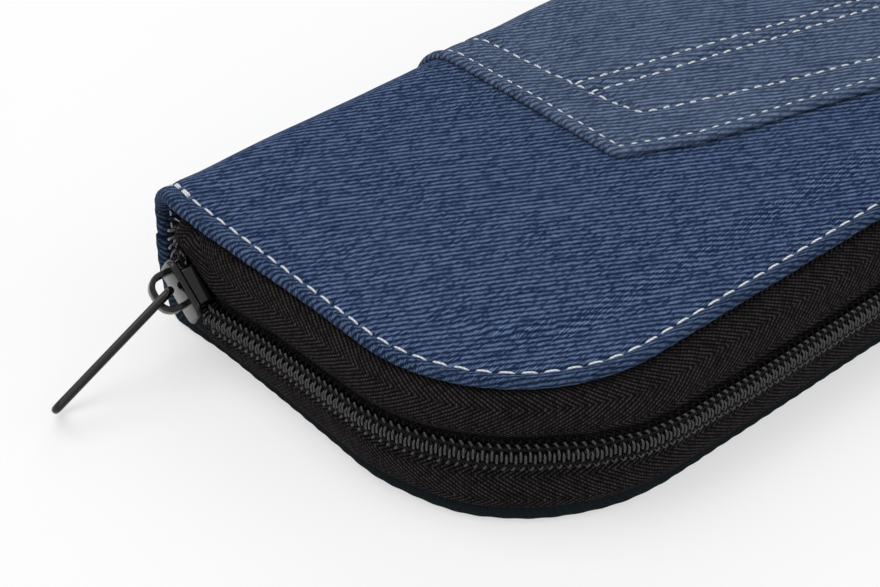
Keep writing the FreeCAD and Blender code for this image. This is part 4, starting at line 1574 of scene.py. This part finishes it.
def makePocket():
    low, high = (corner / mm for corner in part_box("slip_pocket"))

    def bulge(u, y):
        across = 1 - (u / high.x) ** 2
        soft = uneven(u * 0.05, y * 0.07, 60.0) * 0.25
        return -(pocket["bulge"] * across + soft * across) * smoothstep(low.y, -6.0, y)

    rows = [(y, pocket["level"]) for y in steps(low.y, high.y, 24)]
    cloth = clothGrid("lining_pocket", low.x, high.x, rows, bulge, 1, pocket["thickness"])
    dress(cloth, liningCloth, "front_half", ["slip_pocket"])
    band = clothGrid(
        "pocket_band", low.x, high.x, pocket["band"], bulge, 1, pocket["bandThickness"]
    )
    fixNormals(band)
    dress(band, bindingCloth, "front_half", ["slip_pocket_hem"])
    inset = pocket["stitchInset"]
    right, bottom = high.x - inset, flatV(low.y + inset)
    mouth = flatV(pocket["band"][0][0])
    row = [(-right, mouth), (-right, bottom), (right, bottom), (right, mouth)]
    sewn = lineStitches(
        row, lambda u, v: pocket["level"] - 0.08, 1, pocket["stitch"], turned=-1
    )
    row = [(-right, mouth - 1.5), (right, mouth - 1.5)]
    sewn += lineStitches(
        row, lambda u, v: pocket["band"][-1][1] - 0.05 + bulge(u, pocket["band"][0][0]), 1,
        pocket["stitch"], turned=-1,
    )
    piece = stitchRow("pocket_thread", sewn, blackThread)
    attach(piece, "front_half")


makeSpinePad()
makeBinding("front", 1)
makeBinding("back", -1)
makeStrap()
makePocket()
print("strap, pocket and bindings")


# floor, light and camera
stage = {
    "floorGlow": 0.55,
    "sky": 0.42,  # its share of full light, but for the camera and reflections
    "lamps": {  # place, size in metres, power
        "key": ((-0.30, 0.25, 0.95), 0.8, 5.0),
        "fill": ((-0.75, -0.60, 0.50), 0.8, 2.0),
        "front": ((0.45, -0.80, 0.55), 0.8, 2.0),
        "rim": ((0.55, 0.65, 0.55), 0.6, 2.0),
    },
}


def makeStage():
    bpy.ops.mesh.primitive_plane_add(size=6, location=(0, 0, -0.0002))
    floor = bpy.context.object
    floor.name = "floor"
    n = Nodes(bpy.data.materials.new("floor_paper"))
    n.finish((0.93, 0.93, 0.93), 0.9, Specular_IOR_Level=0.1)
    glow = n.add("Emission", (1, 1, 1), 1.0)
    share = n.add("LightPath", out="Is Camera Ray") * stage["floorGlow"]
    paper = n.add("MixShader", share, Value(n, n.shader.outputs[0]), glow)
    n.put(paper, n.tree.nodes["Material Output"].inputs["Surface"])
    floor.data.materials.append(n.owner)

    world = bpy.data.worlds.new("studio")
    bpy.context.scene.world = world
    n = Nodes(world)
    camera, gloss = (n.add("LightPath", out="Is %s Ray" % kind) for kind in ("Camera", "Glossy"))
    background = n.tree.nodes["Background"]
    strength = n.math("MAXIMUM", camera, gloss) * (1 - stage["sky"]) + stage["sky"]
    n.put(strength, background.inputs["Strength"])
    n.put((1, 1, 1), background.inputs["Color"])

    for name, (place, size, power) in stage["lamps"].items():
        data = bpy.data.lights.new(name, "AREA")
        data.size = size
        data.energy = power
        lamp = bpy.data.objects.new(name, data)
        lamp.location = place
        lamp.rotation_euler = (-Vector(place)).to_track_quat("-Z", "Y").to_euler()
        bpy.context.collection.objects.link(lamp)


# the camera stands where the photograph was taken from
shot = {
    "place": (-0.2496, -0.2109, 0.2344),
    "turn": (2.123, -0.797, 0.372),  # rotation vector from the row frame to the camera's
    "lens": 85.9,
}


def makeCamera():
    turn = Vector(shot["turn"])
    rowToCamera = Matrix.Rotation(turn.length, 3, turn.normalized())
    flip = Matrix(((1, 0, 0), (0, -1, 0), (0, 0, -1)))  # the camera looks down its own -Z
    data = bpy.data.cameras.new("camera")
    data.lens = shot["lens"]
    data.sensor_width = 36
    camera = bpy.data.objects.new("camera", data)
    camera.matrix_world = (
        Matrix.Translation(shot["place"]) @ (rowToCamera.transposed() @ flip).to_4x4()
    )
    bpy.context.collection.objects.link(camera)
    bpy.context.scene.camera = camera


makeStage()
makeCamera()
bpy.context.scene.view_settings.view_transform = "Standard"
print("stage")
